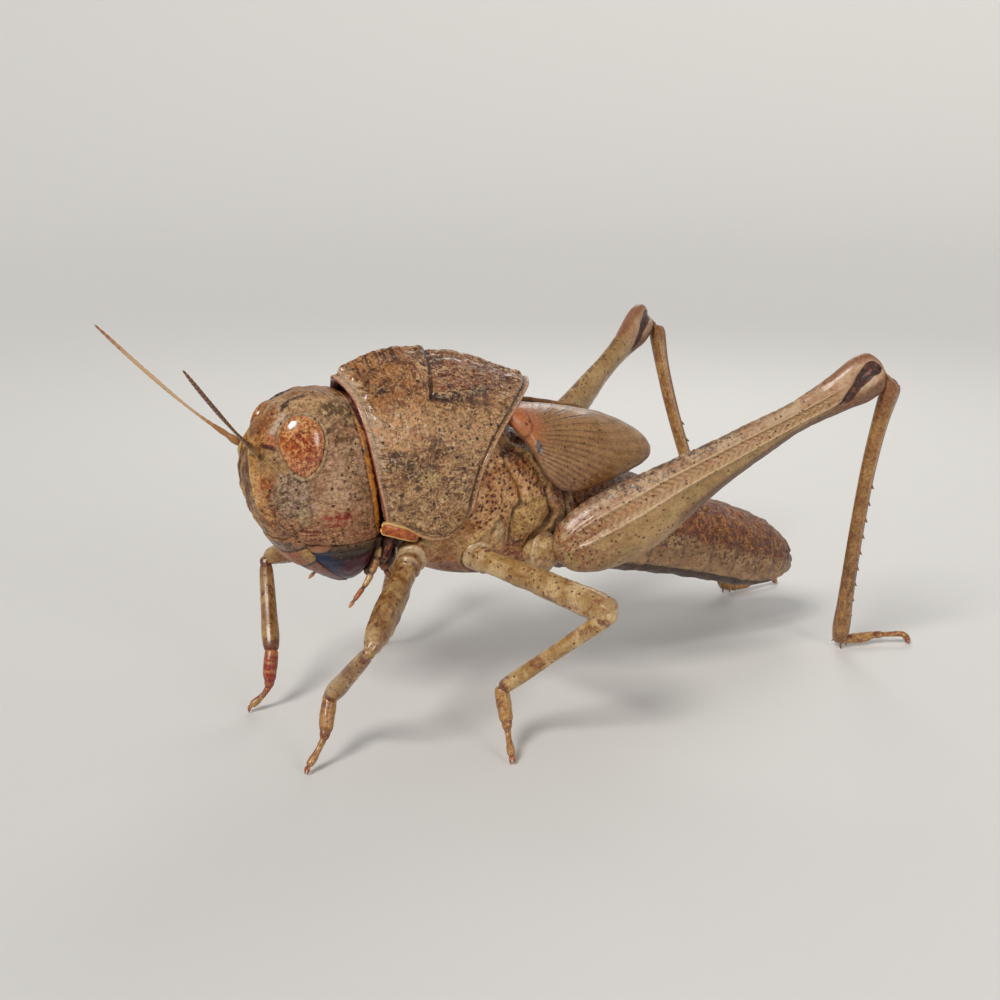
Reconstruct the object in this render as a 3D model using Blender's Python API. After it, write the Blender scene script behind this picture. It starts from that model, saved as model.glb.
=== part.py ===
"""A late nymph of a migratory locust, standing, life size.

The animal faces -Y, its left side is +X and it stands on the plane z = 0. The tables below are in millimetres,
measured from the middle of the body, below the neck, on the floor. Every piece is one closed solid, and
neighbouring pieces keep a thin gap.
"""

import math

import bmesh
import bpy
from mathutils import Matrix, Vector

MM = 0.001
UP = Vector((0, 0, 1))
FORWARD = Vector((0, -1, 0))
NAME = "locust_nymph"

# Driving dimensions.
GAP = 0.3  # between touching pieces
TRUNK_SIDES = 20  # points round a section of the trunk or head
LIMB_SIDES = 10  # points round a section of a leg
PAD_SIDES = 6  # points across a wing pad, on each face
HEAD_TOP = 17.4
HEAD_HEIGHT = 9.85
HEAD_HALF_WIDTH = 3.25
FACE_NARROWING = 0.14  # how much narrower the face is than the back of the head
SHIELD_HALF_WIDTH = 3.4
TRUNK_SQUARENESS = 2.3  # 2 is an ellipse
EYE_CENTRE = Vector((2.22, -0.95, 15.08))
EYE_RADII = Vector((0.74, 1.05, 1.42))
EYE_LEAN = math.radians(-8)
JAW_LINE = 10.05  # height where the cheeks end and the jaws begin
LIP_REAR_TOP = Vector((0.0, -0.85, 10.05))  # the lip's rear edge runs from here
LIP_REAR_BOTTOM = Vector((0.0, 1.75, 7.55))  # down to here

# Head sections from the crown down: share of the height, front, rear, share of the half width.
HEAD_SECTIONS = (
    (0.000, 0.15, 0.85, 0.10),
    (0.025, -0.95, 1.95, 0.42),
    (0.095, -2.02, 2.70, 0.70),
    (0.190, -2.72, 3.10, 0.88),
    (0.300, -3.10, 3.35, 0.97),
    (0.440, -3.12, 3.45, 1.00),
    (0.580, -2.78, 3.45, 1.00),
    (0.700, -2.22, 3.35, 0.95),
    (0.800, -1.50, 3.15, 0.85),
    (0.890, -0.60, 2.80, 0.68),
    (0.955, 0.45, 2.40, 0.47),
    (1.000, 1.35, 1.95, 0.14),
)

# Neck shield from its lower margin up: share of the height, share of the half width, front edge, rear edge.
SHIELD_PROFILE = (
    (0.00, 0.93, 2.95, 6.95),
    (0.10, 0.985, 2.80, 7.45),
    (0.25, 1.00, 2.60, 7.75),
    (0.42, 1.00, 2.38, 8.15),
    (0.58, 0.94, 2.20, 8.85),
    (0.70, 0.83, 2.10, 9.60),
    (0.80, 0.66, 2.05, 10.50),
    (0.89, 0.42, 1.95, 11.50),
    (0.96, 0.18, 1.70, 12.35),
    (1.00, 0.035, 1.48, 12.55),
)
# Share of the shield's length, height of the keel.
SHIELD_KEEL = (
    (0.00, 17.95),
    (0.12, 18.52),
    (0.30, 18.92),
    (0.42, 18.87),
    (0.49, 18.60),
    (0.55, 18.55),
    (0.68, 18.20),
    (0.85, 17.45),
    (0.95, 17.10),
    (1.00, 16.85),
)
# Share of the shield's length, height of the lower margin.
SHIELD_MARGIN = ((0.0, 10.95), (0.3, 10.30), (0.6, 9.80), (0.85, 9.85), (1.0, 10.35))
SHIELD_STEPS = 12

# Trunk sections: place along the body, top, bottom, half width.
THORAX_SECTIONS = (
    (3.75, 13.0, 9.3, 2.1),
    (4.6, 13.6, 8.5, 2.6),
    (6.0, 14.4, 7.6, 3.0),
    (8.0, 15.1, 6.95, 3.25),
    (10.0, 15.0, 6.7, 3.3),
    (11.8, 14.4, 6.6, 3.2),
    (13.2, 13.6, 6.5, 3.0),
)
ABDOMEN_SECTIONS = (
    (13.2, 13.5, 6.5, 3.0),
    (15.5, 12.5, 6.0, 2.95),
    (18.3, 11.25, 5.4, 2.85),
    (21.5, 9.95, 4.65, 2.75),
    (24.5, 8.75, 3.8, 2.65),
    (27.0, 7.75, 3.05, 2.4),
    (28.8, 6.85, 2.9, 2.0),
    (30.0, 5.9, 3.1, 1.45),
    (30.7, 5.0, 3.5, 0.8),
    (30.95, 4.5, 3.9, 0.3),
)
ABDOMEN_LENGTHS = (
    ("abdomen_front", 13.5, 18.2),
    ("abdomen_middle", 18.2, 22.6),
    ("abdomen_rear", 22.6, 26.6),
    ("abdomen_tip", 26.6, 30.95 + GAP),
)

# Wing pad: place along the body, height and place outwards of the upper edge, the same of the lower edge.
PAD_SECTIONS = (
    (10.4, 15.95, 1.3, 14.6, 2.6),
    (11.5, 15.75, 1.0, 12.3, 3.55),
    (12.6, 15.55, 1.0, 11.6, 3.75),
    (14.0, 15.30, 1.0, 11.5, 3.75),
    (15.6, 14.95, 1.0, 11.75, 3.6),
    (17.0, 14.50, 1.1, 12.05, 3.3),
    (18.0, 13.95, 1.4, 12.3, 3.0),
    (18.6, 13.40, 1.8, 12.6, 2.65),
    (18.8, 13.05, 2.1, 12.8, 2.4),
)
PAD_THICKNESS = 0.55
PAD_STEPS = 12

# Leg joints: root in the trunk, hip, end of the thigh, top of the shin, ankle, ball of the foot, claws.
LEGS = {
    ("fore", "left"): (
        (2.3, 4.8, 9.7),
        (3.3, 4.4, 9.0),
        (7.3, 0.0, 6.35),
        (7.3, 0.0, 6.35),
        (4.1, -0.74, 3.1),
        (4.92, -1.44, 1.5),
        (5.4, -2.6, 0.1),
    ),
    ("fore", "right"): (
        (-2.3, 4.8, 9.7),
        (-3.3, 4.4, 9.0),
        (-6.5, 0.1, 7.06),
        (-6.5, 0.1, 7.06),
        (-3.4, -0.9, 2.9),
        (-2.8, -1.4, 1.2),
        (-2.9, -2.5, 0.1),
    ),
    ("mid", "left"): (
        (2.2, 8.2, 8.6),
        (3.1, 8.0, 8.45),
        (11.3, 10.6, 7.55),
        (11.3, 10.6, 7.55),
        (7.2, 6.95, 3.07),
        (7.8, 6.9, 1.5),
        (9.25, 6.4, 0.1),
    ),
    ("mid", "right"): (
        (-2.2, 8.2, 8.6),
        (-3.1, 8.0, 8.45),
        (-11.1, 10.8, 7.5),
        (-11.1, 10.8, 7.5),
        (-7.1, 7.4, 3.0),
        (-7.6, 7.7, 1.5),
        (-8.6, 7.5, 0.1),
    ),
    ("hind", "left"): (
        (2.6, 11.5, 8.2),
        (3.9, 12.0, 8.3),
        (9.75, 28.1, 17.4),
        (10.1, 28.75, 17.15),
        (5.15, 30.85, 0.4),
        (5.75, 33.0, 0.6),
        (6.75, 34.9, 0.1),
    ),
    ("hind", "right"): (
        (-2.6, 11.5, 8.2),
        (-3.9, 12.0, 8.3),
        (-10.9, 27.9, 17.85),
        (-11.1, 28.7, 17.6),
        (-5.75, 31.2, 0.4),
        (-5.7, 33.3, 0.6),
        (-5.8, 35.4, 0.1),
    ),
}
# Sections of the leg pieces: share of the length, half thickness from side to side, half depth.
COXA = ((0.0, 0.85, 0.95), (0.5, 0.95, 1.0), (1.0, 0.7, 0.75))
THIGHS = {
    "fore": ((0.03, 0.5, 0.52), (0.15, 0.55, 0.6), (0.45, 0.62, 0.7), (0.8, 0.6, 0.68), (0.97, 0.42, 0.45)),
    "mid": ((0.03, 0.6, 0.66), (0.15, 0.58, 0.64), (0.5, 0.62, 0.68), (0.85, 0.68, 0.74), (0.97, 0.6, 0.66)),
    "hind": (
        (0.00, 0.70, 1.05),
        (0.04, 0.88, 1.48),
        (0.11, 1.00, 1.86),
        (0.19, 1.00, 1.98),
        (0.28, 0.95, 1.85),
        (0.36, 0.85, 1.60),
        (0.46, 0.75, 1.27),
        (0.61, 0.62, 0.98),
        (0.75, 0.54, 0.78),
        (0.85, 0.60, 0.98),
        (0.92, 0.68, 1.22),
        (0.98, 0.60, 1.16),
    ),
}
FORE_SHIN = ((0.04, 0.42, 0.42), (0.3, 0.34, 0.34), (0.7, 0.33, 0.33), (0.97, 0.38, 0.38))
SHINS = {
    "fore": FORE_SHIN,
    "mid": FORE_SHIN,
    "hind": (
        (0.00, 0.45, 0.48),
        (0.035, 0.5, 0.58),
        (0.10, 0.44, 0.5),
        (0.3, 0.38, 0.42),
        (0.6, 0.38, 0.42),
        (0.9, 0.40, 0.44),
        (0.99, 0.46, 0.46),
    ),
}
BALL = ((0.08, 0.34, 0.34), (0.35, 0.38, 0.38), (0.8, 0.36, 0.36), (0.97, 0.3, 0.3))
TOE = ((0.05, 0.27, 0.27), (0.6, 0.26, 0.26), (1.0, 0.32, 0.32))
# Share of the hind thigh's length, how far it hangs below its axis there.
THIGH_SAG = ((0.0, 0.0), (0.12, 0.28), (0.25, 0.42), (0.42, 0.15), (0.6, 0.0), (1.0, 0.0))
SHIN_BOW = 0.45  # how far the middle of the hind shin bows forwards

ANTENNA_ROOT = Vector((1.15, -3.1, 14.75))
ANTENNA_TIPS = (("left", 1, Vector((6.5, -7.74, 19.94))), ("right", -1, Vector((-4.5, -8.67, 20.64))))
FEELER_RADIUS = 0.26
ANTENNA_STATIONS = 9
# Jaw feelers on the left side: root, elbow, tip.
PALPS = {
    "maxillary_palp": (Vector((2.15, 3.35, 9.3)), Vector((2.3, 2.3, 8.2)), Vector((2.6, 1.1, 6.9))),
    "labial_palp": (Vector((1.0, 3.4, 8.5)), Vector((1.1, 3.5, 7.9)), Vector((1.2, 3.8, 7.4))),
}

# Colour and roughness of each kind of piece.
FINISHES = {
    "eye": ((0.38, 0.11, 0.05), 0.25),
    "feeler": ((0.40, 0.24, 0.13), 0.50),
    "jaw": ((0.07, 0.09, 0.22), 0.35),
    "lip": ((0.45, 0.28, 0.16), 0.45),
    "head": ((0.52, 0.36, 0.26), 0.45),
    "shield": ((0.42, 0.28, 0.15), 0.55),
    "pad": ((0.46, 0.30, 0.17), 0.40),
    "thorax": ((0.50, 0.34, 0.20), 0.50),
    "abdomen": ((0.48, 0.27, 0.14), 0.55),
    "leg": ((0.62, 0.47, 0.28), 0.45),
    "shin": ((0.55, 0.32, 0.14), 0.45),
    "foot": ((0.50, 0.28, 0.14), 0.45),
}


# Scene and materials


def clear_scene():
    for item in list(bpy.data.objects):
        bpy.data.objects.remove(item)


def new_collection(name):
    collection = bpy.data.collections.new(name)
    bpy.context.scene.collection.children.link(collection)
    return collection


def finish_of(kind):
    """The material of one kind of piece, made once."""
    material = bpy.data.materials.get(kind)
    if material is None:
        colour, roughness = FINISHES[kind]
        material = bpy.data.materials.new(kind)
        material.use_nodes = True
        shader = material.node_tree.nodes["Principled BSDF"]
        shader.inputs["Base Color"].default_value = (*colour, 1.0)
        shader.inputs["Roughness"].default_value = roughness
        shader.inputs["Metallic"].default_value = 0.0
    return material


def add_piece(name, mesh, kind, pieces):
    piece = bpy.data.objects.new(name, mesh)
    mesh.shade_smooth()
    mesh.set_sharp_from_angle(angle=math.radians(50))
    mesh.materials.append(finish_of(kind))
    pieces.objects.link(piece)
    return piece


# Shapes


def smooth_row(table, place):
    """The columns of a table at a place between its rows, on a smooth curve through the rows."""
    last = len(table) - 1
    index = 0
    while index < last - 1 and place > table[index + 1][0]:
        index += 1
    start, end = table[index], table[index + 1]
    before, after = table[max(index - 1, 0)], table[min(index + 2, last)]
    step = end[0] - start[0]
    share = min(max((place - start[0]) / step, 0.0), 1.0)
    square, cube = share**2, share**3
    row = []
    for column in range(1, len(start)):
        slope_in = (end[column] - before[column]) / (end[0] - before[0]) * step
        slope_out = (after[column] - start[column]) / (after[0] - start[0]) * step
        value = (2 * cube - 3 * square + 1) * start[column] + (3 * square - 2 * cube) * end[column]
        row.append(value + (cube - 2 * square + share) * slope_in + (cube - square) * slope_out)
    return row


def loft(name, rings):
    """A closed mesh through rings of equal count, with a face across each end."""
    shape = bmesh.new()
    loops = [[shape.verts.new(point * MM) for point in ring] for ring in rings]
    count = len(loops[0])
    for lower, upper in zip(loops, loops[1:]):
        for i in range(count):
            j = (i + 1) % count
            shape.faces.new((lower[i], lower[j], upper[j], upper[i]))
    shape.faces.new(list(reversed(loops[0])))
    shape.faces.new(loops[-1])
    bmesh.ops.recalc_face_normals(shape, faces=shape.faces)
    mesh = bpy.data.meshes.new(name)
    shape.to_mesh(mesh)
    shape.free()
    return mesh


def trunk_ring(y, top, bottom, half_width):
    """A section across the body: flatter at the sides than an ellipse."""
    middle, half_height = (top + bottom) / 2, (top - bottom) / 2
    power = 2 / TRUNK_SQUARENESS
    ring = []
    for step in range(TRUNK_SIDES):
        angle = 2 * math.pi * step / TRUNK_SIDES
        c, s = math.cos(angle), math.sin(angle)
        x = half_width * math.copysign(abs(s) ** power, s)
        z = middle + half_height * math.copysign(abs(c) ** power, c)
        ring.append(Vector((x, y, z)))
    return ring


def trunk(name, table, start, end, steps):
    places = [start + (end - start) * step / steps for step in range(steps + 1)]
    return loft(name, [trunk_ring(y, *smooth_row(table, y)) for y in places])


def limb_ring(centre, along, reference, half_side, half_deep):
    """A section across a limb, its depth turned towards a reference direction."""
    side = along.cross(reference).normalized()
    deep = side.cross(along).normalized()
    ring = []
    for step in range(LIMB_SIDES):
        angle = 2 * math.pi * step / LIMB_SIDES
        ring.append(centre + side * (half_side * math.cos(angle)) + deep * (half_deep * math.sin(angle)))
    return ring


def limb(name, stations, reference):
    """A leg piece through stations of centre, half side and half depth, with domed ends."""
    first, last = stations[0], stations[-1]
    inwards = (stations[1][0] - first[0]).normalized()
    outwards = (last[0] - stations[-2][0]).normalized()
    rows = [(first[0] - inwards * (0.35 * first[2]), first[1] * 0.55, first[2] * 0.55)]
    rows += stations
    rows.append((last[0] + outwards * (0.35 * last[2]), last[1] * 0.55, last[2] * 0.55))
    rings = []
    for i, (centre, half_side, half_deep) in enumerate(rows):
        along = rows[min(i + 1, len(rows) - 1)][0] - rows[max(i - 1, 0)][0]
        rings.append(limb_ring(centre, along.normalized(), reference, half_side, half_deep))
    return loft(name, rings)


def stations_between(start, end, profile):
    """Limb stations from a profile of shares of the length."""
    return [(start.lerp(end, share), half_side, half_deep) for share, half_side, half_deep in profile]


def keep_side(mesh, point, normal):
    """Keeps the part of a mesh on the side of a plane that its normal points to, and closes the cut."""
    shape = bmesh.new()
    shape.from_mesh(mesh)
    everything = shape.verts[:] + shape.edges[:] + shape.faces[:]
    cut = bmesh.ops.bisect_plane(
        shape, geom=everything, plane_co=point * MM, plane_no=normal, clear_inner=True, dist=1e-7
    )
    edges = [item for item in cut["geom_cut"] if isinstance(item, bmesh.types.BMEdge)]
    bmesh.ops.holes_fill(shape, edges=edges)
    bmesh.ops.recalc_face_normals(shape, faces=shape.faces)
    shape.to_mesh(mesh)
    shape.free()
    return mesh


def mirrored(mesh, name):
    """The same shape for the animal's right side."""
    copy = mesh.copy()
    copy.name = name
    copy.transform(Matrix.Diagonal((-1, 1, 1, 1)))
    copy.flip_normals()
    return copy


# Fitting pieces to each other


def grown_copy(piece, distance):
    """The shape of a piece, larger by a distance all round."""
    depsgraph = bpy.context.evaluated_depsgraph_get()
    mesh = bpy.data.meshes.new_from_object(piece.evaluated_get(depsgraph))
    shape = bmesh.new()
    shape.from_mesh(mesh)
    bmesh.ops.remove_doubles(shape, verts=shape.verts, dist=1e-5)
    shape.normal_update()
    moves = [vert.normal * (distance * MM) for vert in shape.verts]
    for vert, move in zip(shape.verts, moves):
        vert.co += move
    shape.to_mesh(mesh)
    shape.free()
    return mesh


def make_room(piece, neighbour, cutters):
    """Cuts the neighbour's shape and the gap round it out of a piece."""
    name = "room_for_" + neighbour.name
    cutter = bpy.data.objects.get(name)
    if cutter is None:
        cutter = bpy.data.objects.new(name, grown_copy(neighbour, GAP))
        cutter.hide_render = True
        cutter.display_type = "WIRE"
        cutters.objects.link(cutter)
    cut = piece.modifiers.new(name, "BOOLEAN")
    cut.operation = "DIFFERENCE"
    cut.solver = "EXACT"
    cut.object = cutter


# Head


def head_ring(share, front, rear, width_share):
    """A level section of the head: narrower at the face than at the back."""
    z = HEAD_TOP - HEAD_HEIGHT * share
    middle, half_length = (front + rear) / 2, (rear - front) / 2
    ring = []
    for step in range(TRUNK_SIDES):
        angle = 2 * math.pi * step / TRUNK_SIDES
        c, s = math.cos(angle), math.sin(angle)
        x = HEAD_HALF_WIDTH * width_share * s * (1 - FACE_NARROWING * c)
        ring.append(Vector((x, middle - half_length * c, z)))
    return ring


def head_form():
    """The head with the jaws, in one shape."""
    return loft("head_form", [head_ring(*row) for row in HEAD_SECTIONS])


def build_mouth(pieces):
    """The lip and the two jaws, parted from the foot of the head by thin cuts."""
    below = Vector((0, 0, JAW_LINE - GAP / 2))
    rear_edge = (LIP_REAR_BOTTOM - LIP_REAR_TOP).normalized()
    to_front = (FORWARD - rear_edge * FORWARD.dot(rear_edge)).normalized()
    lip = keep_side(head_form(), below, -UP)
    lip = keep_side(lip, LIP_REAR_TOP + to_front * (GAP / 2), to_front)
    add_piece("upper_lip", lip, "lip", pieces)
    for side, sign in (("left", 1), ("right", -1)):
        outwards = Vector((sign, 0, 0))
        jaw = keep_side(head_form(), below, -UP)
        jaw = keep_side(jaw, LIP_REAR_TOP - to_front * (GAP / 2), -to_front)
        jaw = keep_side(jaw, outwards * (GAP / 2), outwards)
        add_piece("mandible_" + side, jaw, "jaw", pieces)


def build_eye(side, sign, pieces):
    shape = bmesh.new()
    bmesh.ops.create_uvsphere(shape, u_segments=16, v_segments=10, radius=MM)
    mesh = bpy.data.meshes.new("eye_" + side)
    shape.to_mesh(mesh)
    shape.free()
    place = Matrix.Translation(Vector((sign * EYE_CENTRE.x, EYE_CENTRE.y, EYE_CENTRE.z)) * MM)
    mesh.transform(place @ Matrix.Rotation(EYE_LEAN, 4, "X") @ Matrix.Diagonal((*EYE_RADII, 1)))
    return add_piece("eye_" + side, mesh, "eye", pieces)


def build_feelers(head, pieces, cutters):
    for side, sign, tip in ANTENNA_TIPS:
        root = Vector((sign * ANTENNA_ROOT.x, ANTENNA_ROOT.y, ANTENNA_ROOT.z))
        last = ANTENNA_STATIONS - 1
        profile = [(step / last, FEELER_RADIUS, FEELER_RADIUS) for step in range(ANTENNA_STATIONS)]
        mesh = limb("antenna", stations_between(root, tip, profile), UP)
        make_room(add_piece("antenna_" + side, mesh, "feeler", pieces), head, cutters)
    for name, route in PALPS.items():
        for side, sign in (("left", 1), ("right", -1)):
            stations = [(Vector((sign * p.x, p.y, p.z)), FEELER_RADIUS, FEELER_RADIUS) for p in route]
            palp = add_piece(f"{name}_{side}", limb(name, stations, FORWARD), "feeler", pieces)
            make_room(palp, bpy.data.objects["mandible_" + side], cutters)
            make_room(palp, head, cutters)


def build_head(pieces, cutters):
    capsule = keep_side(head_form(), Vector((0, 0, JAW_LINE + GAP / 2)), UP)
    head = add_piece("head", capsule, "head", pieces)
    build_mouth(pieces)
    for side, sign in (("left", 1), ("right", -1)):
        make_room(head, build_eye(side, sign, pieces), cutters)
    build_feelers(head, pieces, cutters)
    return head


# Neck shield and trunk


def shield_ring(share):
    """A section of the shield at a share of its length: both sides up to the keel, closed level below."""
    keel, margin = smooth_row(SHIELD_KEEL, share)[0], smooth_row(SHIELD_MARGIN, share)[0]
    half_width = SHIELD_HALF_WIDTH * (0.9 + 0.1 * min(share / 0.6, 1.0))
    left = []
    for height, spread, front, rear in SHIELD_PROFILE:
        y = front + (rear - front) * share
        left.append(Vector((half_width * spread, y, margin + (keel - margin) * height)))
    return left + [Vector((-point.x, point.y, point.z)) for point in reversed(left)]


def build_shield(head, pieces, cutters):
    rings = [shield_ring(step / SHIELD_STEPS) for step in range(SHIELD_STEPS + 1)]
    shield = add_piece("pronotum", loft("pronotum", rings), "shield", pieces)
    make_room(shield, head, cutters)
    return shield


def build_trunk(head, shield, pieces, cutters):
    start, end = THORAX_SECTIONS[0][0], THORAX_SECTIONS[-1][0]
    thorax = add_piece("thorax", trunk("thorax", THORAX_SECTIONS, start, end, 10), "thorax", pieces)
    make_room(thorax, shield, cutters)
    make_room(thorax, head, cutters)
    lengths = []
    for name, start, end in ABDOMEN_LENGTHS:
        mesh = trunk(name, ABDOMEN_SECTIONS, start, end - GAP, 6)
        lengths.append(add_piece(name, mesh, "abdomen", pieces))
    return [thorax] + lengths


def pad_ring(y, upper_z, upper_x, lower_z, lower_x):
    """A section of a wing pad: a thin plate, arched over the back."""
    outer, inner = [], []
    for step in range(PAD_SIDES):
        share = step / (PAD_SIDES - 1)
        turn = share * math.pi / 2
        x = upper_x + (lower_x - upper_x) * math.sin(turn)
        z = upper_z + (lower_z - upper_z) * (1 - math.cos(turn))
        outwards = Vector((math.sin(0.35 + turn * 0.75), 0, math.cos(0.35 + turn * 0.75)))
        thin = 0.5 if step in (0, PAD_SIDES - 1) else 1.0
        outer.append(Vector((x, y, z)) + outwards * (PAD_THICKNESS * thin / 2))
        inner.append(Vector((x, y, z)) - outwards * (PAD_THICKNESS * thin / 2))
    return outer + list(reversed(inner))


def build_pads(neighbours, pieces, cutters):
    start, end = PAD_SECTIONS[0][0], PAD_SECTIONS[-1][0]
    places = [start + (end - start) * step / PAD_STEPS for step in range(PAD_STEPS + 1)]
    left = loft("wing_pad", [pad_ring(y, *smooth_row(PAD_SECTIONS, y)) for y in places])
    for side, mesh in (("left", left), ("right", mirrored(left, "wing_pad_right"))):
        pad = add_piece("wing_pad_" + side, mesh, "pad", pieces)
        for neighbour in neighbours:
            make_room(pad, neighbour, cutters)


# Legs


def on_floor(mesh):
    """Cuts a foot level with the floor, so that it has a small flat to stand on."""
    return keep_side(mesh, Vector((0, 0, 0)), UP)


def thigh_stations(pair, hip, knee):
    stations = stations_between(hip, knee, THIGHS[pair])
    if pair == "hind":
        shares = [share for share, *_ in THIGHS[pair]]
        for share, (centre, *_) in zip(shares, stations):
            centre.z -= smooth_row(THIGH_SAG, share)[0]
    return stations


def shin_stations(pair, top, ankle):
    stations = stations_between(top, ankle, SHINS[pair])
    if pair == "hind":
        shares = [share for share, *_ in SHINS[pair]]
        for share, (centre, *_) in zip(shares, stations):
            centre.y -= SHIN_BOW * math.sin(math.pi * share)
    return stations


def build_leg(pair, side, joints, neighbours, pieces, cutters):
    root, hip, knee, shin_top, ankle, ball, tip = (Vector(point) for point in joints)
    coxa_mesh = limb("coxa", stations_between(root, hip, COXA), UP)
    coxa = add_piece(f"{pair}_coxa_{side}", coxa_mesh, "leg", pieces)
    femur = add_piece(f"{pair}_femur_{side}", limb("thigh", thigh_stations(pair, hip, knee), UP), "leg", pieces)
    for neighbour in neighbours:
        make_room(coxa, neighbour, cutters)
        make_room(femur, neighbour, cutters)
    make_room(femur, coxa, cutters)
    shin_mesh = on_floor(limb("shin", shin_stations(pair, shin_top, ankle), FORWARD))
    tibia = add_piece(f"{pair}_tibia_{side}", shin_mesh, "shin", pieces)
    make_room(tibia, femur, cutters)
    foot_stations = stations_between(ankle, ball, BALL) + stations_between(ball, tip, TOE)
    foot_mesh = on_floor(limb("foot", foot_stations, UP if pair == "hind" else FORWARD))
    foot = add_piece(f"{pair}_tarsus_{side}", foot_mesh, "foot", pieces)
    make_room(foot, tibia, cutters)


def centre_on_floor(pieces, cutters):
    """Hangs everything on one empty, moved so that the middle of the animal's box is over the origin."""
    depsgraph = bpy.context.evaluated_depsgraph_get()
    corners = []
    for piece in pieces.objects:
        shown = piece.evaluated_get(depsgraph).to_mesh()
        corners += [vert.co.copy() for vert in shown.vertices]
    low = Vector([min(corner[axis] for corner in corners) for axis in range(3)])
    high = Vector([max(corner[axis] for corner in corners) for axis in range(3)])
    stand = bpy.data.objects.new("stand_point", None)
    bpy.context.scene.collection.objects.link(stand)
    for item in list(pieces.objects) + list(cutters.objects):
        item.parent = stand
    stand.location = (-(low.x + high.x) / 2, -(low.y + high.y) / 2, -low.z)


def build():
    clear_scene()
    pieces = new_collection(NAME)
    cutters = new_collection("cutters")
    head = build_head(pieces, cutters)
    shield = build_shield(head, pieces, cutters)
    trunk_pieces = build_trunk(head, shield, pieces, cutters)
    build_pads([shield] + trunk_pieces, pieces, cutters)
    for (pair, side), joints in LEGS.items():
        build_leg(pair, side, joints, [shield] + trunk_pieces[:2], pieces, cutters)
    centre_on_floor(pieces, cutters)


build()
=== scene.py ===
"""A late nymph of a migratory locust, life size: detailed shapes, finishes, stage, light and camera.

Shapes are worked out in millimetres from a point on the floor below the neck, with the animal's left
side at +X and its tail at +Y. Each finished piece is then brought to metres and to the frame's own origin.
"""

import functools
import math

import bpy
import numpy
from mathutils import Matrix, Vector, noise


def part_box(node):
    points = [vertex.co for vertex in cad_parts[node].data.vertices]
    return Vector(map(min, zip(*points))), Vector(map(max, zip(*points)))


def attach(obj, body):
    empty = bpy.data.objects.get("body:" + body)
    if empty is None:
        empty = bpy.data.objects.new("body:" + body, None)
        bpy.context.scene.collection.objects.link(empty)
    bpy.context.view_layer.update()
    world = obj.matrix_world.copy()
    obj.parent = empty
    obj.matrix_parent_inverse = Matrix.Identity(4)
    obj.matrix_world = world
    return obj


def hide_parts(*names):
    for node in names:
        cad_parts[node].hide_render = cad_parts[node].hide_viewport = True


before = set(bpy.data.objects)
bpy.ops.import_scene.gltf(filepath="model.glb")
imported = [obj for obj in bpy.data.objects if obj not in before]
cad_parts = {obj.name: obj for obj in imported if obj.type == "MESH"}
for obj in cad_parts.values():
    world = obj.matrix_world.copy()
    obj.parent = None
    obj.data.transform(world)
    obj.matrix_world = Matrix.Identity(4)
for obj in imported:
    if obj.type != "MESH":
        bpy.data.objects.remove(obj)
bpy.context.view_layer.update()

MM = 0.001
UP = numpy.array((0.0, 0.0, 1.0))
FORWARD = numpy.array((0.0, -1.0, 0.0))
EYE_CENTRE = numpy.array((2.22, -0.95, 15.08))
DOME = (0.02, 0.14, 0.4, 0.75)


def middle_of(node):
    low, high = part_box(node)
    return numpy.array([(a + b) / 2 for a, b in zip(low, high)])


SHIFT = middle_of("eye_left") / MM - EYE_CENTRE
EYE_MIDDLE = EYE_CENTRE + (0.23, -0.07, 0.03)

# Dimensions in millimetres, tables from the front or the top onwards.
HEAD_TOP = 17.4
HEAD_HEIGHT = 9.85
HEAD_HALF_WIDTH = 3.25
FACE_NARROWING = 0.14
# Share of the head's height, front, rear, share of the half width.
HEAD_SECTIONS = (
    (0.000, 0.50, 0.50, 0.00),
    (0.025, -0.95, 1.95, 0.42),
    (0.095, -1.90, 2.70, 0.69),
    (0.190, -2.62, 3.10, 0.88),
    (0.300, -3.10, 3.35, 0.97),
    (0.440, -3.12, 3.45, 1.00),
    (0.580, -2.78, 3.45, 1.00),
    (0.700, -2.22, 3.35, 0.95),
    (0.800, -1.50, 3.15, 0.85),
    (0.890, -0.60, 2.80, 0.68),
    (0.955, 0.45, 2.40, 0.47),
    (1.000, 1.60, 1.60, 0.00),
)
CHEEK_FOOT = 10.15
# Height, place along the body.
LIP_REAR_EDGE = ((7.5, 1.95), (8, 1.25), (8.45, 0.6), (8.9, 0.06), (9.36, -0.38), (9.85, -0.76),
                 (10.4, -1.06))
# How much deeper the finishes are than the colours they are mixed from, and the lightest that they may be.
CONTRAST = 1.45
LIGHTEST = (0.86, 0.84, 0.82)
# How far red, green and blue light run under the skin, in metres.
SKIN_DEPTHS = (0.0006, 0.0003, 0.00015)
EYE_RADII = numpy.array((0.4, 1.05, 1.45))
# The eye lies flat on the side of the head: its turns about the three axes, in degrees, and how
# egg-shaped it is.
EYE_TURNS = (("X", 6), ("Y", -12), ("Z", -26))
EYE_NARROWING = 0.17
EYE_DEPTH = 2.6
ANTENNA_ROOT = (1.15, -2.75, 14.7)
ANTENNA_TIPS = {"left": (6.42, -7.66, 19.84), "right": (-4.44, -8.58, 20.52)}

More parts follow.
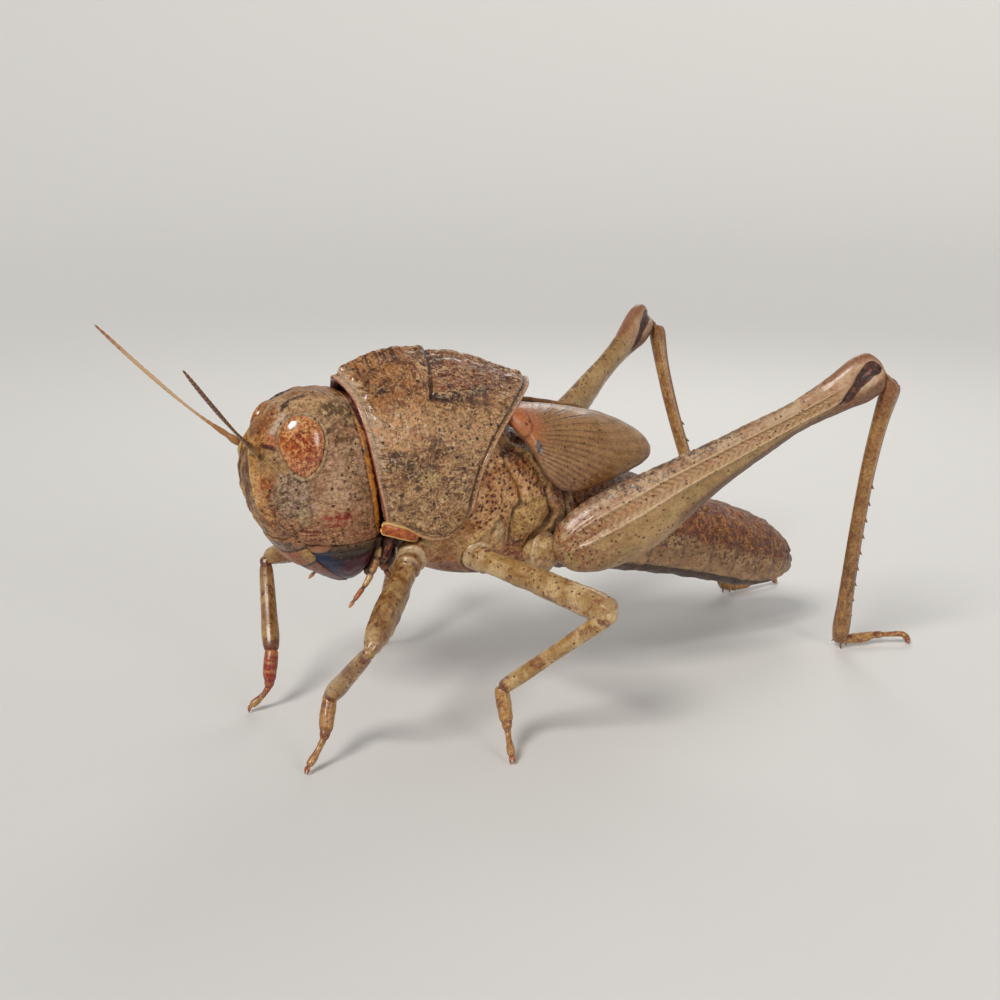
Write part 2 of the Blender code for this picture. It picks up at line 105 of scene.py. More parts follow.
# Way from the keel to the lower margin, share of the height, share of the half width, front edge, rear edge.
SHIELD_ACROSS = (
    (0.000, 1.00, 0.00, 1.50, 12.62),
    (0.063, 0.965, 0.17, 1.70, 12.35),
    (0.169, 0.89, 0.42, 1.95, 11.50),
    (0.285, 0.80, 0.66, 2.05, 10.50),
    (0.391, 0.70, 0.83, 2.10, 9.60),
    (0.501, 0.58, 0.94, 2.20, 8.85),
    (0.640, 0.42, 1.00, 2.38, 8.15),
    (0.785, 0.25, 1.00, 2.60, 7.75),
    (0.913, 0.10, 0.985, 2.80, 7.45),
    (1.000, 0.00, 0.93, 2.95, 6.95),
)
SHIELD_KEEL = (
    (0.00, 17.95),
    (0.12, 18.52),
    (0.30, 18.92),
    (0.42, 18.87),
    (0.49, 18.60),
    (0.55, 18.55),
    (0.68, 18.20),
    (0.85, 17.45),
    (0.95, 17.10),
    (1.00, 16.85),
)
SHIELD_MARGIN = ((0, 10.95), (0.3, 10.30), (0.6, 9.80), (0.85, 9.85), (1, 10.35))
SHIELD_HALF_WIDTH = 3.4

# Place along the body, top, bottom, half width.
THORAX_SECTIONS = (
    (3.75, 13, 9.3, 2.1),
    (4.6, 14, 8.5, 2.6),
    (6, 16, 7.6, 3),
    (7.3, 17.5, 7.1, 3.18),
    (8.6, 16.6, 6.85, 3.27),
    (10, 15, 6.7, 3.3),
    (11.8, 14.4, 6.6, 3.2),
    (13.2, 13.6, 6.5, 3),
    (14.2, 13, 6.4, 2.9),
)
ABDOMEN_SECTIONS = (
    (12.6, 13.3, 6.9, 2.85),
    (13.2, 13.4, 6.6, 2.95),
    (15.5, 12.5, 6.05, 2.95),
    (18.3, 11.25, 5.45, 2.85),
    (21.5, 9.95, 4.7, 2.75),
    (24.5, 8.75, 3.85, 2.65),
    (27, 7.75, 3.1, 2.4),
    (28.8, 6.85, 2.95, 2),
    (30, 5.9, 3.15, 1.45),
    (30.7, 5, 3.6, 0.8),
    (30.93, 4.4, 4.2, 0.15),
)
ABDOMEN_JOINTS = (14.6, 16.9, 19.1, 21.2, 23.2, 25, 26.7, 28.2, 29.4)

# Place along the body, height and place outwards of the upper edge, the same of the lower edge.
PAD_SECTIONS = (
    (10.2, 15.95, 1.2, 15, 2.2),
    (10.9, 15.85, 1.05, 13.9, 3.1),
    (11.5, 15.75, 1, 12.6, 3.55),
    (12.2, 15.62, 1, 11.75, 3.75),
    (13, 15.50, 1, 11.45, 3.78),
    (14, 15.30, 1, 11.45, 3.75),
    (15.6, 14.95, 1, 11.75, 3.6),
    (17, 14.50, 1.1, 12.05, 3.3),
    (18, 13.95, 1.4, 12.3, 3),
    (18.6, 13.40, 1.8, 12.6, 2.65),
    (18.8, 13.05, 2.1, 12.8, 2.4),
)

# Line along the side (place along the body, height), width, depth.
GROOVES = (
    (((9.45, 13.6), (9.75, 12.7), (10.1, 11.9), (10.3, 11.1), (9.85, 10.8), (9.72, 10), (9.75, 8.8)),
     0.09, 0.2),
    (((11.95, 11.6), (12.05, 10.8), (12.25, 10.3), (12, 9.9), (11.5, 9.55), (11.05, 9.2), (10.95, 8.6)),
     0.15, 0.45),
    (((10.9, 13.4), (11.4, 12.5), (11.9, 11.5)), 0.09, 0.14),
    (((8.6, 9.3), (8.85, 10.2), (9.25, 10.35), (9.45, 9.9), (9.5, 9)), 0.08, 0.14),
    (((9.4, 13.75), (10.1, 13.75), (10.9, 13.35)), 0.1, 0.14),
    (((12.9, 12.4), (13.2, 10.9), (12.9, 9.6), (12.2, 9), (11.2, 8.3)), 0.12, 0.16),
    (((7.6, 8.9), (7.45, 8.4), (7.7, 7.9), (8.4, 7.3)), 0.1, 0.18),
)
RIDGES = (
    (((9, 10.5), (8.56, 9.95), (8.03, 9.5), (7.4, 9.15), (7.15, 8.8), (7.35, 8.1), (8.1, 7.4)), 0.12, 0.14),
    (((9.6, 13.3), (9.95, 12.3), (10.2, 11.4)), 0.14, 0.07),
    (((12.35, 10.6), (12.45, 10.2), (12.1, 9.7), (11.5, 9.3)), 0.12, 0.1),
    (((9.7, 14.3), (10.7, 13.7), (11.4, 12.8), (11.9, 11.8)), 0.16, 0.08),
)
# Middle (place along the body, height), radii, height.
SWELLINGS = (
    ((8.5, 11.9), (1.3, 2.4), 0.14),
    ((10.85, 10.3), (0.95, 0.8), 0.42),
    ((10.9, 12), (0.7, 1), 0.12),
    ((12.75, 10.4), (0.45, 0.75), 0.3),
    ((12.2, 8.75), (0.5, 0.35), 0.2),
    ((10.3, 9.2), (0.45, 0.5), 0.12),
    ((8.3, 8.4), (0.8, 0.7), 0.25),
    ((11.9, 8.1), (0.9, 0.6), 0.2),
)

# Root in the trunk, hip, end of the thigh, top of the shin, ankle, ball of the foot, tip of the claws.
LEGS = {
    ("fore", "left"): (
        (2.2, 4.8, 9.2), (3.1, 4.15, 8.85), (7.3, 0, 6.35), (7.3, 0, 6.35), (4.1, -0.74, 3.1),
        (4.92, -1.44, 1.5), (5.4, -2.6, 0.1),
    ),
    ("fore", "right"): (
        (-2.2, 4.8, 9.2), (-3.1, 4.15, 8.85), (-6.5, 0.1, 7.06), (-6.5, 0.1, 7.06), (-3.4, -0.9, 2.9),
        (-2.8, -1.4, 1.2), (-2.9, -2.5, 0.1),
    ),
    ("mid", "left"): (
        (2.2, 8.2, 8.6), (3.1, 8, 8.45), (11.3, 10.6, 7.55), (11.3, 10.6, 7.55), (7.2, 6.95, 3.07),
        (7.8, 6.9, 1.5), (9.25, 6.4, 0.1),
    ),
    ("mid", "right"): (
        (-2.2, 8.2, 8.6), (-3.1, 8, 8.45), (-11.1, 10.8, 7.5), (-11.1, 10.8, 7.5), (-7.1, 7.4, 3),
        (-7.6, 7.7, 1.5), (-8.6, 7.5, 0.1),
    ),
    ("hind", "left"): (
        (2.6, 11.5, 8.2), (3.9, 12, 8.3), (9.75, 28.1, 17.4), (10.1, 28.75, 17.15), (5.15, 30.85, 0.4),
        (5.75, 33, 0.6), (6.75, 34.9, 0.1),
    ),
    ("hind", "right"): (
        (-2.6, 11.5, 8.2), (-3.9, 12, 8.3), (-10.9, 27.9, 17.85), (-11.1, 28.7, 17.6), (-5.75, 31.2, 0.4),
        (-5.7, 33.3, 0.6), (-5.8, 35.4, 0.1),
    ),
}

# Share of the length, half thickness, half depth up, half depth down.
SMALL_THIGHS = {
    "fore": ((0, 0.42, 0.45, 0.45), (0.12, 0.5, 0.54, 0.54), (0.45, 0.62, 0.7, 0.68),
             (0.75, 0.58, 0.66, 0.62), (0.92, 0.44, 0.48, 0.46), (1, 0.36, 0.38, 0.36)),
    "mid": ((0, 0.54, 0.6, 0.6), (0.12, 0.54, 0.6, 0.6), (0.5, 0.6, 0.66, 0.66), (0.8, 0.66, 0.74, 0.7),
            (0.93, 0.7, 0.78, 0.72), (1, 0.6, 0.66, 0.6)),
}
SMALL_SHINS = {
    "fore": ((0, 0.32, 0.34, 0.34), (0.08, 0.33, 0.35, 0.35), (0.3, 0.38, 0.4, 0.4),
             (0.6, 0.41, 0.43, 0.43), (0.9, 0.44, 0.46, 0.46), (1, 0.37, 0.38, 0.38)),
    "mid": ((0, 0.38, 0.42, 0.42), (0.08, 0.44, 0.48, 0.48), (0.22, 0.4, 0.42, 0.42),
            (0.5, 0.36, 0.38, 0.38), (0.9, 0.38, 0.4, 0.4), (1, 0.35, 0.36, 0.36)),
}
COXA = ((0, 0.85), (0.45, 0.92), (0.8, 0.92), (1, 0.78))

# Share of the length, distance.
THIGH_SAG = ((0, 0), (0.12, 0.28), (0.25, 0.42), (0.42, 0.15), (0.6, 0), (1, 0))
THIGH_PROFILE = (
    (0.00, 0.62, 1.00, 1.00),
    (0.04, 0.88, 1.48, 1.48),
    (0.11, 1.00, 1.88, 1.90),
    (0.19, 1.02, 2.00, 2.02),
    (0.28, 0.96, 1.86, 1.88),
    (0.36, 0.86, 1.61, 1.61),
    (0.46, 0.75, 1.28, 1.28),
    (0.61, 0.62, 0.98, 0.98),
    (0.75, 0.54, 0.78, 0.78),
    (0.85, 0.60, 0.98, 0.96),
    (0.92, 0.68, 1.24, 1.16),
    (0.98, 0.62, 1.22, 1.08),
    (1.00, 0.55, 1.05, 0.98),
)
# Share of the length, heights of the upper and lower ridge as shares of the half depth.
THIGH_RIDGES = (
    (0.00, 0.50, 0.00),
    (0.15, 0.58, 0.12),
    (0.35, 0.62, 0.12),
    (0.60, 0.50, -0.12),
    (0.80, 0.35, -0.30),
    (1.00, 0.30, -0.30),
)
SHIN_BOW = ((0, 0), (0.05, 0.16), (0.15, 0.4), (0.3, 0.55), (0.5, 0.5), (0.7, 0.34), (0.9, 0.12), (1, 0))

# The floor and the wall it sweeps up to, in metres. The lights and the camera stand in millimetres.
FLOOR_COLOUR = (222, 220, 216)
FLOOR_RADIUS = 0.3
SWEEP_RADIUS = 0.6
SWEEP_STEPS = 32
AIR_COLOUR = (0.9, 0.92, 0.95, 1)
AIR_STRENGTH = 0.34
KEY_STRENGTH = 2
KEY_ANGLE = 20
KEY_COLOUR = (1, 0.98, 0.95)
KEY_DIRECTION = (-50, 92, -100)
SOFT_LIGHTS = (("fill", (130, 25, 60), 0.03), ("back", (-70, 70, 80), 0.02))
SOFT_AIM = (0, 12, 10)
SOFT_SIZE = 50
SOFT_COLOUR = (1, 0.99, 0.98)
VIEW_PLACE = (61.99, -24.11, 29.37)
VIEW_DIRECTION = (-0.8411, 0.4756, -0.2576)


# Working out shapes


def along(table, place):
    """The columns of a table at many places, on smooth curves through its rows."""
    rows = numpy.array(table, float)
    stops, values = rows[:, 0], rows[:, 1:]
    place = numpy.clip(numpy.asarray(place, float), stops[0], stops[-1])
    slopes = numpy.gradient(values, stops, axis=0)
    row = numpy.clip(numpy.searchsorted(stops, place) - 1, 0, len(stops) - 2)
    step = (stops[row + 1] - stops[row])[:, None]
    share = (place[:, None] - stops[row][:, None]) / step
    square, cube = share**2, share**3
    result = (2 * cube - 3 * square + 1) * values[row] + (3 * square - 2 * cube) * values[row + 1]
    result += (cube - 2 * square + share) * slopes[row] * step + (cube - square) * slopes[row + 1] * step
    return result.T


def ease(value, low, high):
    """Rises smoothly from 0 to 1 between two values."""
    share = numpy.clip((value - low) / (high - low), 0, 1)
    return share**2 * (3 - 2 * share)


def ridge(distance, width):
    """A smooth ridge, 1 high, that is down to a third at its width."""
    return numpy.exp(-((distance / width) ** 2))


def way_to_line(first, second, line):
    """How far points lie from a line through stops, all in one plane."""
    best = numpy.full(first.shape, 1e9)
    for (a, b), (c, d) in zip(line, line[1:]):
        run_a, run_b = c - a, d - b
        share = numpy.clip(((first - a) * run_a + (second - b) * run_b) / (run_a**2 + run_b**2), 0, 1)
        best = numpy.minimum(best, numpy.hypot(first - a - share * run_a, second - b - share * run_b))
    return best


def seam(first, second, line, width):
    """A smooth ridge along a line through stops."""
    return ridge(way_to_line(first, second, line), width)


def value_at(table, place):
    """The one value of a table at one place."""
    return float(along(table, [place])[0][0])


def lumps(at, size, seed):
    """Smooth lumpy noise about -1 to 1, with lumps of a size or of three sizes, one to each axis."""
    scaled = at / numpy.array(size, float) + seed * 17.3
    return numpy.array([noise.noise(Vector(point)) for point in scaled])


# Making and shaping meshes


def points(piece):
    flat = numpy.empty(len(piece.data.vertices) * 3)
    piece.data.vertices.foreach_get("co", flat)
    return flat.reshape(-1, 3)


def set_points(piece, at):
    piece.data.vertices.foreach_set("co", numpy.ascontiguousarray(at, float).ravel())
    piece.data.update()


def directions(piece):
    """The outward direction at each point of a piece."""
    flat = numpy.empty(len(piece.data.vertices) * 3)
    piece.data.vertices.foreach_get("normal", flat)
    return flat.reshape(-1, 3)


def push(piece, amounts):
    """Moves each point outwards by its amount."""
    set_points(piece, points(piece) + directions(piece) * amounts[:, None])


def note(piece, name, values):
    """Keeps a number for each point of a piece, for its finish to read."""
    kept = piece.data.attributes.get(name) or piece.data.attributes.new(name, "FLOAT", "POINT")
    kept.data.foreach_set("value", numpy.ascontiguousarray(values, float))


def noted(piece, name):
    values = numpy.empty(len(piece.data.vertices))
    piece.data.attributes[name].data.foreach_get("value", values)
    return values


def spread(piece):
    """The points of a piece, with how far they lie to the side, along the body and up."""
    at = points(piece)
    return at, numpy.abs(at[:, 0]), at[:, 1], at[:, 2]


def unit(vector):
    vector = numpy.array(vector, float)
    return vector / numpy.linalg.norm(vector)


def take_none():
    bpy.ops.object.select_all(action="DESELECT")


def take(piece):
    """Selects one piece and nothing else."""
    take_none()
    piece.select_set(True)
    bpy.context.view_layer.objects.active = piece


def start_editing(kind=None):
    """Opens the active piece for editing, with all of it selected."""
    bpy.ops.object.mode_set(mode="EDIT")
    if kind:
        bpy.ops.mesh.select_mode(type=kind)
    bpy.ops.mesh.select_all(action="SELECT")


def stop_editing():
    bpy.ops.object.mode_set(mode="OBJECT")


def newest(name):
    piece = bpy.context.object
    piece.name = name
    piece.data.name = name
    return piece


def drawn(name, rings, sides, levels):
    """A closed form drawn out of a flat ring: each next ring is pulled out, turned and stretched.

    Each ring is its centre, its sides as the columns of a matrix, and its half width and half depth.
    """
    swell = 3 / (2 + math.cos(2 * math.pi / sides))
    centre, turn, sizes = rings[0]
    take_none()
    bpy.ops.mesh.primitive_circle_add(
        vertices=sides, radius=swell, fill_type="NGON", location=centre, rotation=turn.to_euler()
    )
    piece = newest(name)
    start_editing("FACE")
    stretch(sizes, turn, centre)
    for next_centre, next_turn, next_sizes in rings[1:]:
        step = [b - a for a, b in zip(centre, next_centre)]
        bpy.ops.mesh.extrude_region_move(TRANSFORM_OT_translate={"value": step})
        change = (next_turn @ turn.inverted()).to_euler("XYZ")
        for axis, angle in zip("XYZ", change):
            if abs(angle) > 1e-5:
                bpy.ops.transform.rotate(value=-angle, orient_axis=axis, center_override=next_centre)
        stretch([b / a for a, b in zip(sizes, next_sizes)], next_turn, next_centre)
        centre, turn, sizes = next_centre, next_turn, next_sizes
    stop_editing()
    bpy.ops.object.transform_apply(location=True, rotation=True, scale=True)
    if levels:
        apply(piece, "SUBSURF", levels=levels, render_levels=levels)
    tidy(piece)
    return piece


def stretch(sizes, turn, centre):
    bpy.ops.transform.resize(
        value=(sizes[0], sizes[1], 1), orient_type="GLOBAL", orient_matrix=turn, orient_matrix_type="GLOBAL",
        center_override=centre,
    )


def ring_places(length, ends, rings):
    """Where the rings of a limb stand, closer at its ends, and how far the domed ends draw each in."""
    places = [(ends[0] * e, math.sqrt(1 - (1 - e) ** 2)) for e in DOME]
    first, last = ends[0], length - ends[1]
    for number in range(1, rings):
        places.append((first + (last - first) * number / rings, 1))
    places += [(length - ends[1] * e, math.sqrt(1 - (1 - e) ** 2)) for e in reversed(DOME)]
    return numpy.array(places)


def start_sheet(name, columns, rows):
    """A flat square sheet, from -1 to 1 both ways."""
    take_none()
    bpy.ops.mesh.primitive_grid_add(x_subdivisions=columns, y_subdivisions=rows, size=2)
    return newest(name)


def tidy(piece, gap=0.0005):
    """Closes seams and poles and turns every face outwards."""
    take(piece)
    start_editing()
    bpy.ops.mesh.remove_doubles(threshold=gap)
    bpy.ops.mesh.normals_make_consistent(inside=False)
    stop_editing()
    bpy.ops.object.shade_smooth()


def apply(piece, kind, **settings):
    """Adds a modifier of a kind, with its settings, and applies it."""
    take(piece)
    modifier = piece.modifiers.new(kind, kind)
    for key, value in settings.items():
        setattr(modifier, key, value)
    bpy.ops.object.modifier_apply(modifier=modifier.name)


def thicken(piece, thickness, rounding):
    """Gives a sheet a thickness inwards, with rounded edges."""
    apply(piece, "SOLIDIFY", thickness=thickness, offset=-1)
    apply(piece, "BEVEL", width=rounding, segments=2, limit_method="ANGLE", angle_limit=math.radians(50))
    take(piece)
    bpy.ops.object.shade_smooth()


def joined(name, parts):
    take_none()
    for part in parts:
        part.select_set(True)
    bpy.context.view_layer.objects.active = parts[0]
    if len(parts) > 1:
        bpy.ops.object.join()
    return newest(name)


def copy_of(piece, name, matrix):
    mesh = piece.data.copy()
    mesh.transform(matrix)
    copy = bpy.data.objects.new(name, mesh)
    bpy.context.scene.collection.objects.link(copy)
    return copy


def follow(route, share):
    """Centres and directions along a smooth route of (share, x, y, z) stops."""
    step = 0.004
    centre = along(route, share).T
    run = along(route, numpy.minimum(share + step, 1)).T - along(route, numpy.maximum(share - step, 0)).T
    return centre, run / numpy.linalg.norm(run, axis=1)[:, None]


def route_of(*stops):
    """A route through stops, each at the share of the way where it lies."""
    stops = [numpy.array(stop, float) for stop in stops]
    steps = [0]
    for one, other in zip(stops, stops[1:]):
        steps.append(steps[-1] + float(numpy.linalg.norm(other - one)))
    return [(step / steps[-1], *stop) for step, stop in zip(steps, stops)], steps[-1]


def sides_of(forwards, reference):
    """The sideways and the upward direction at each place of a limb."""
    side = numpy.cross(reference, forwards)
    side /= numpy.linalg.norm(side, axis=1)[:, None]
    return side, numpy.cross(forwards, side)


def limb(name, stops, profile, reference=UP, hand=1, sides=12, rings=8, levels=2, ends=(0.4, 0.4)):
    """A closed limb along a route, with domed ends.

    The profile gives share of the length, half thickness to the side, and half depth up and down.
    It keeps for its finish: run, in millimetres from its root; rise, 1 at the top to -1 below; and out,
    1 outwards.
    """
    route, length = route_of(*stops)
    places = ring_places(length, ends, rings)
    share = places[:, 0] / length
    centre, forwards = follow(route, share)
    side, deep = sides_of(forwards, reference)
    half_side, half_up, half_down = along(profile, share)
    centre = centre + deep * ((half_up - half_down) / 2 * places[:, 1])[:, None]
    made = []
    for row in range(len(share)):
        turn = Matrix((side[row], deep[row], forwards[row])).transposed()
        size = (half_side[row] * places[row, 1], (half_up[row] + half_down[row]) / 2 * places[row, 1])
        made.append((centre[row], turn, size))
    piece = drawn(name, made, sides, levels)
    measure(piece, route, length, profile, reference, hand)
    return piece


def measure(piece, route, length, profile, reference, hand):
    """Keeps where each point of a limb lies along it and round it."""
    at = points(piece)
    stops = numpy.linspace(0, 1, 241)
    centre, forwards = follow(route, stops)
    apart = (at**2).sum(1)[:, None] - 2 * at @ centre.T + (centre**2).sum(1)[None]
    near = apart.argmin(1)
    share = stops[near] + ((at - centre[near]) * forwards[near]).sum(1) / length
    share = numpy.clip(share, 0, 1)
    centre, forwards = follow(route, share)
    side, deep = sides_of(forwards, reference)
    half_side, half_up, half_down = along(profile, share)
    across = ((at - centre) * side).sum(1) / half_side
    rise = ((at - centre) * deep).sum(1)
    rise = rise / numpy.where(rise > 0, half_up, half_down)
    far = numpy.maximum(numpy.hypot(across, rise), 1e-6)
    outwards = 1 if side[:, 0].mean() * hand >= 0 else -1
    note(piece, "run", share * length)
    note(piece, "rise", rise / far)
    note(piece, "out", outwards * across / far)


def settle_pair(left, finish, slot, node=None):
    """Settles a piece of the left side, and its twin for the right."""
    right = copy_of(left, left.name.replace("left", "right"), Matrix.Diagonal((-1, 1, 1, 1)))
    right.data.flip_normals()
    for piece, side in ((left, "left"), (right, "right")):
        settle(piece, finish, slot, *([f"{node}_{side}"] if node else []))


def settle(piece, finish, slot, *nodes):
    """Brings a shaped piece to the frame, gives it its finish and hides the solids that it stands for."""
    piece.data.transform(Matrix.Scale(MM, 4) @ Matrix.Translation(Vector(SHIFT)))
    piece.data.materials.clear()
    piece.data.materials.append(finish)
    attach(piece, "root")
    if nodes:
        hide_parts(*nodes)


# Finishes


class Field:
    """Something that varies over a surface. Sums on it add nodes to its finish."""

    def __init__(self, finish, socket):
        self.finish = finish
        self.socket = socket

    def sum(self, operation, *values):
        return self.finish.node("ShaderNodeMath", {"operation": operation}, dict(enumerate(values)))

    def step(self, low, high):
        """0 where the field is at one value and 1 where it is at the other, with a smooth change between."""
        inputs = {"Value": self, "From Min": low, "From Max": high}
        return self.finish.node("ShaderNodeMapRange", {"interpolation_type": "SMOOTHSTEP"}, inputs)

    def ragged(self, scale, low=0.42, high=0.56):
        """The field broken up by noise."""
        return self * self.finish.noise(scale, 4, 0.7).step(low, high)

    def __add__(self, other):
        return self.sum("ADD", self, other)

    def __radd__(self, other):
        return self.sum("ADD", other, self)

    def __sub__(self, other):
        return self.sum("SUBTRACT", self, other)

    def __rsub__(self, other):
        return self.sum("SUBTRACT", other, self)

    def __mul__(self, other):
        return self.sum("MULTIPLY", self, other)

    def __rmul__(self, other):
        return self.sum("MULTIPLY", other, self)

    def __truediv__(self, other):
        return self.sum("DIVIDE", self, other)

    def __abs__(self):
        return self.sum("ABSOLUTE", self)

    def most(self, other):
        return self.sum("MAXIMUM", self, other)

    def least(self, other):
        return self.sum("MINIMUM", self, other)


class Finish:
    """A material being made: its nodes, its colour so far, and the animal's own place and sides."""

    def __init__(self, name, tone, roughness=0.45, coat=0, coat_roughness=0.2, skin=0, specular=0.5):
        self.tone = tone
        self.colour = None
        self.material = bpy.data.materials.new(name)
        self.material.use_nodes = True
        self.tree = self.material.node_tree
        self.shader = self.tree.nodes["Principled BSDF"]
        settings = {"Roughness": roughness, "Coat Weight": coat, "Coat Roughness": coat_roughness}
        settings["Specular IOR Level"] = specular
        if skin:
            settings["Subsurface Weight"] = skin
            settings["Subsurface Radius"] = SKIN_DEPTHS
            settings["Subsurface Scale"] = 1
        for socket, value in settings.items():
            self.shader.inputs[socket].default_value = value
        raw = self.node("ShaderNodeTexCoord", {}, {}, "Object")
        self.place = self.vector("SUBTRACT", self.vector("SCALE", raw, factor=1 / MM), tuple(SHIFT))
        split = self.node("ShaderNodeSeparateXYZ", {}, {0: self.place}).socket.node
        self.x, self.y, self.z = (Field(self, split.outputs[axis]) for axis in range(3))
        self.side = abs(self.x)

    def node(self, kind, settings, inputs, output=0):
        made = self.tree.nodes.new(kind)
        for key, value in settings.items():
            setattr(made, key, value)
        for key, value in inputs.items():
            if isinstance(value, Field):
                self.tree.links.new(value.socket, made.inputs[key])
            else:
                made.inputs[key].default_value = value
        return Field(self, made.outputs[output])

    def vector(self, operation, first, second=None, factor=None):
        inputs = {0: first}
        if second is not None:
            inputs[1] = second
        if factor is not None:
            inputs["Scale"] = factor
        return self.node("ShaderNodeVectorMath", {"operation": operation}, inputs)

    def mix(self, mask, first, second):
        """One colour where the mask is 0, another where it is 1: each a field or red, green and blue."""
        first, second = (shade(*end) if isinstance(end, tuple) else end for end in (first, second))
        return self.node("ShaderNodeMix", {"data_type": "RGBA"}, {0: mask, 6: first, 7: second}, 2)

    def paint(self, mask, colour):
        """Lays a colour over what is there, where the mask is 1."""
        self.colour = self.mix(mask, self.colour, colour)

    def tint(self, colour, mask, strength):
        """A colour multiplied by another where the mask is 1."""
        settings = {"data_type": "RGBA", "blend_type": "MULTIPLY"}
        return self.node("ShaderNodeMix", settings, {0: mask, 6: colour, 7: strength}, 2)

    def __getitem__(self, name):
        """A number kept at each point of the piece."""
        return self.node("ShaderNodeAttribute", {"attribute_name": name}, {}, "Fac")

    def stretched(self, stretch, at=None):
        return self.vector("MULTIPLY", at or self.place, stretch)

    def moved(self, x, y, z):
        return self.vector("ADD", self.place, (x, y, z))

    def swayed(self, scale, reach):
        """The place, pushed about so that a pattern on it wanders."""
        inputs = {"Vector": self.place, "Scale": scale, "Detail": 2}
        sway = self.node("ShaderNodeTexNoise", {}, inputs, "Color")
        return self.vector("ADD", self.place, self.vector("SCALE", sway, factor=reach))

    def noise(self, scale, detail=3, roughness=0.55, at=None, twist=0):
        """Cloudy noise; a tuple for its place stretches it along the three axes."""
        at = self.stretched(at) if isinstance(at, tuple) else at or self.place
        inputs = {"Vector": at, "Scale": scale, "Detail": detail, "Roughness": roughness,
                  "Distortion": twist}
        return self.node("ShaderNodeTexNoise", {}, inputs)

    def cells(self, scale, feature="F1", at=None, random=1):
        inputs = {"Vector": at or self.place, "Scale": scale, "Randomness": random}
        return self.node("ShaderNodeTexVoronoi", {"feature": feature}, inputs)

    def dots(self, scale, size, share=0.5):
        """Round dots, some to each millimetre, each of its own strength; a share of the places stay empty."""
        far = self.cells(scale, random=0.9)
        tone = Field(self, far.socket.node.outputs["Color"])
        pick = self.node("ShaderNodeSeparateColor", {}, {0: tone})
        return far.step(size, size * 0.45) * pick.step(share, share + 0.12)

    def weathered(self, colour, strength):
        """Fine dark grain and small pale specks over a colour."""
        fine = self.noise(6.5, 5, 0.75)
        colour = self.tint(colour, fine.step(0.51, 0.4) * (0.75 * strength), (0.5, 0.38, 0.27, 1))
        return self.mix(fine.step(0.53, 0.64) * (0.5 * strength), colour, (240, 212, 178))

    def weather(self, strength):
        self.colour = self.weathered(self.colour, strength)

    # Marks lie in the plane of the animal's side, or in the plane of two other fields.

    def spot(self, centre, radii, soft=0.5, plane=None):
        """1 inside an oval, fading to 0 at its edge."""
        a, b = ((way - c) / r for way, c, r in zip(plane or (self.y, self.z), centre, radii))
        return (a * a + b * b).step(1 + soft, 1 - soft)

    def stroke(self, start, end, width, plane=None):
        """1 on a straight stroke between two stops, fading to 0 at its width."""
        run = (end[0] - start[0], end[1] - start[1])
        square = run[0] ** 2 + run[1] ** 2
        a, b = (way - s for way, s in zip(plane or (self.y, self.z), start))
        share = ((a * run[0] + b * run[1]) / square).most(0).least(1)
        off_a, off_b = a - share * run[0], b - share * run[1]
        return (off_a * off_a + off_b * off_b).step(width**2, width**2 * 0.15)

    def line(self, stops, width, plane=None):
        """A stroke through many stops."""
        made = [self.stroke(start, end, width, plane) for start, end in zip(stops, stops[1:])]
        return functools.reduce(Field.most, made)

    def done(self, roughness, height, depth, strength):
        """Links what was painted to the shader. The height is in shares of the depth in millimetres."""
        deeper = self.node("ShaderNodeGamma", {}, {"Color": self.colour, "Gamma": CONTRAST})
        brighter = self.vector("MINIMUM", self.vector("MULTIPLY", deeper, self.tone), LIGHTEST)
        self.tree.links.new(brighter.socket, self.shader.inputs["Base Color"])
        if roughness is not None:
            self.tree.links.new(roughness.socket, self.shader.inputs["Roughness"])
        inputs = {"Height": height, "Strength": strength, "Distance": depth * MM}
        bump = self.node("ShaderNodeBump", {}, inputs, "Normal")
        self.tree.links.new(bump.socket, self.shader.inputs["Normal"])
        return self.material


def shade(red, green, blue):
    """A colour as it is seen on a screen, from 0 to 255, for a shader."""
    linear = []
    for value in (red, green, blue):
        value /= 255
        linear.append(value / 12.92 if value <= 0.04045 else ((value + 0.055) / 1.055) ** 2.4)
    return (*linear, 1)


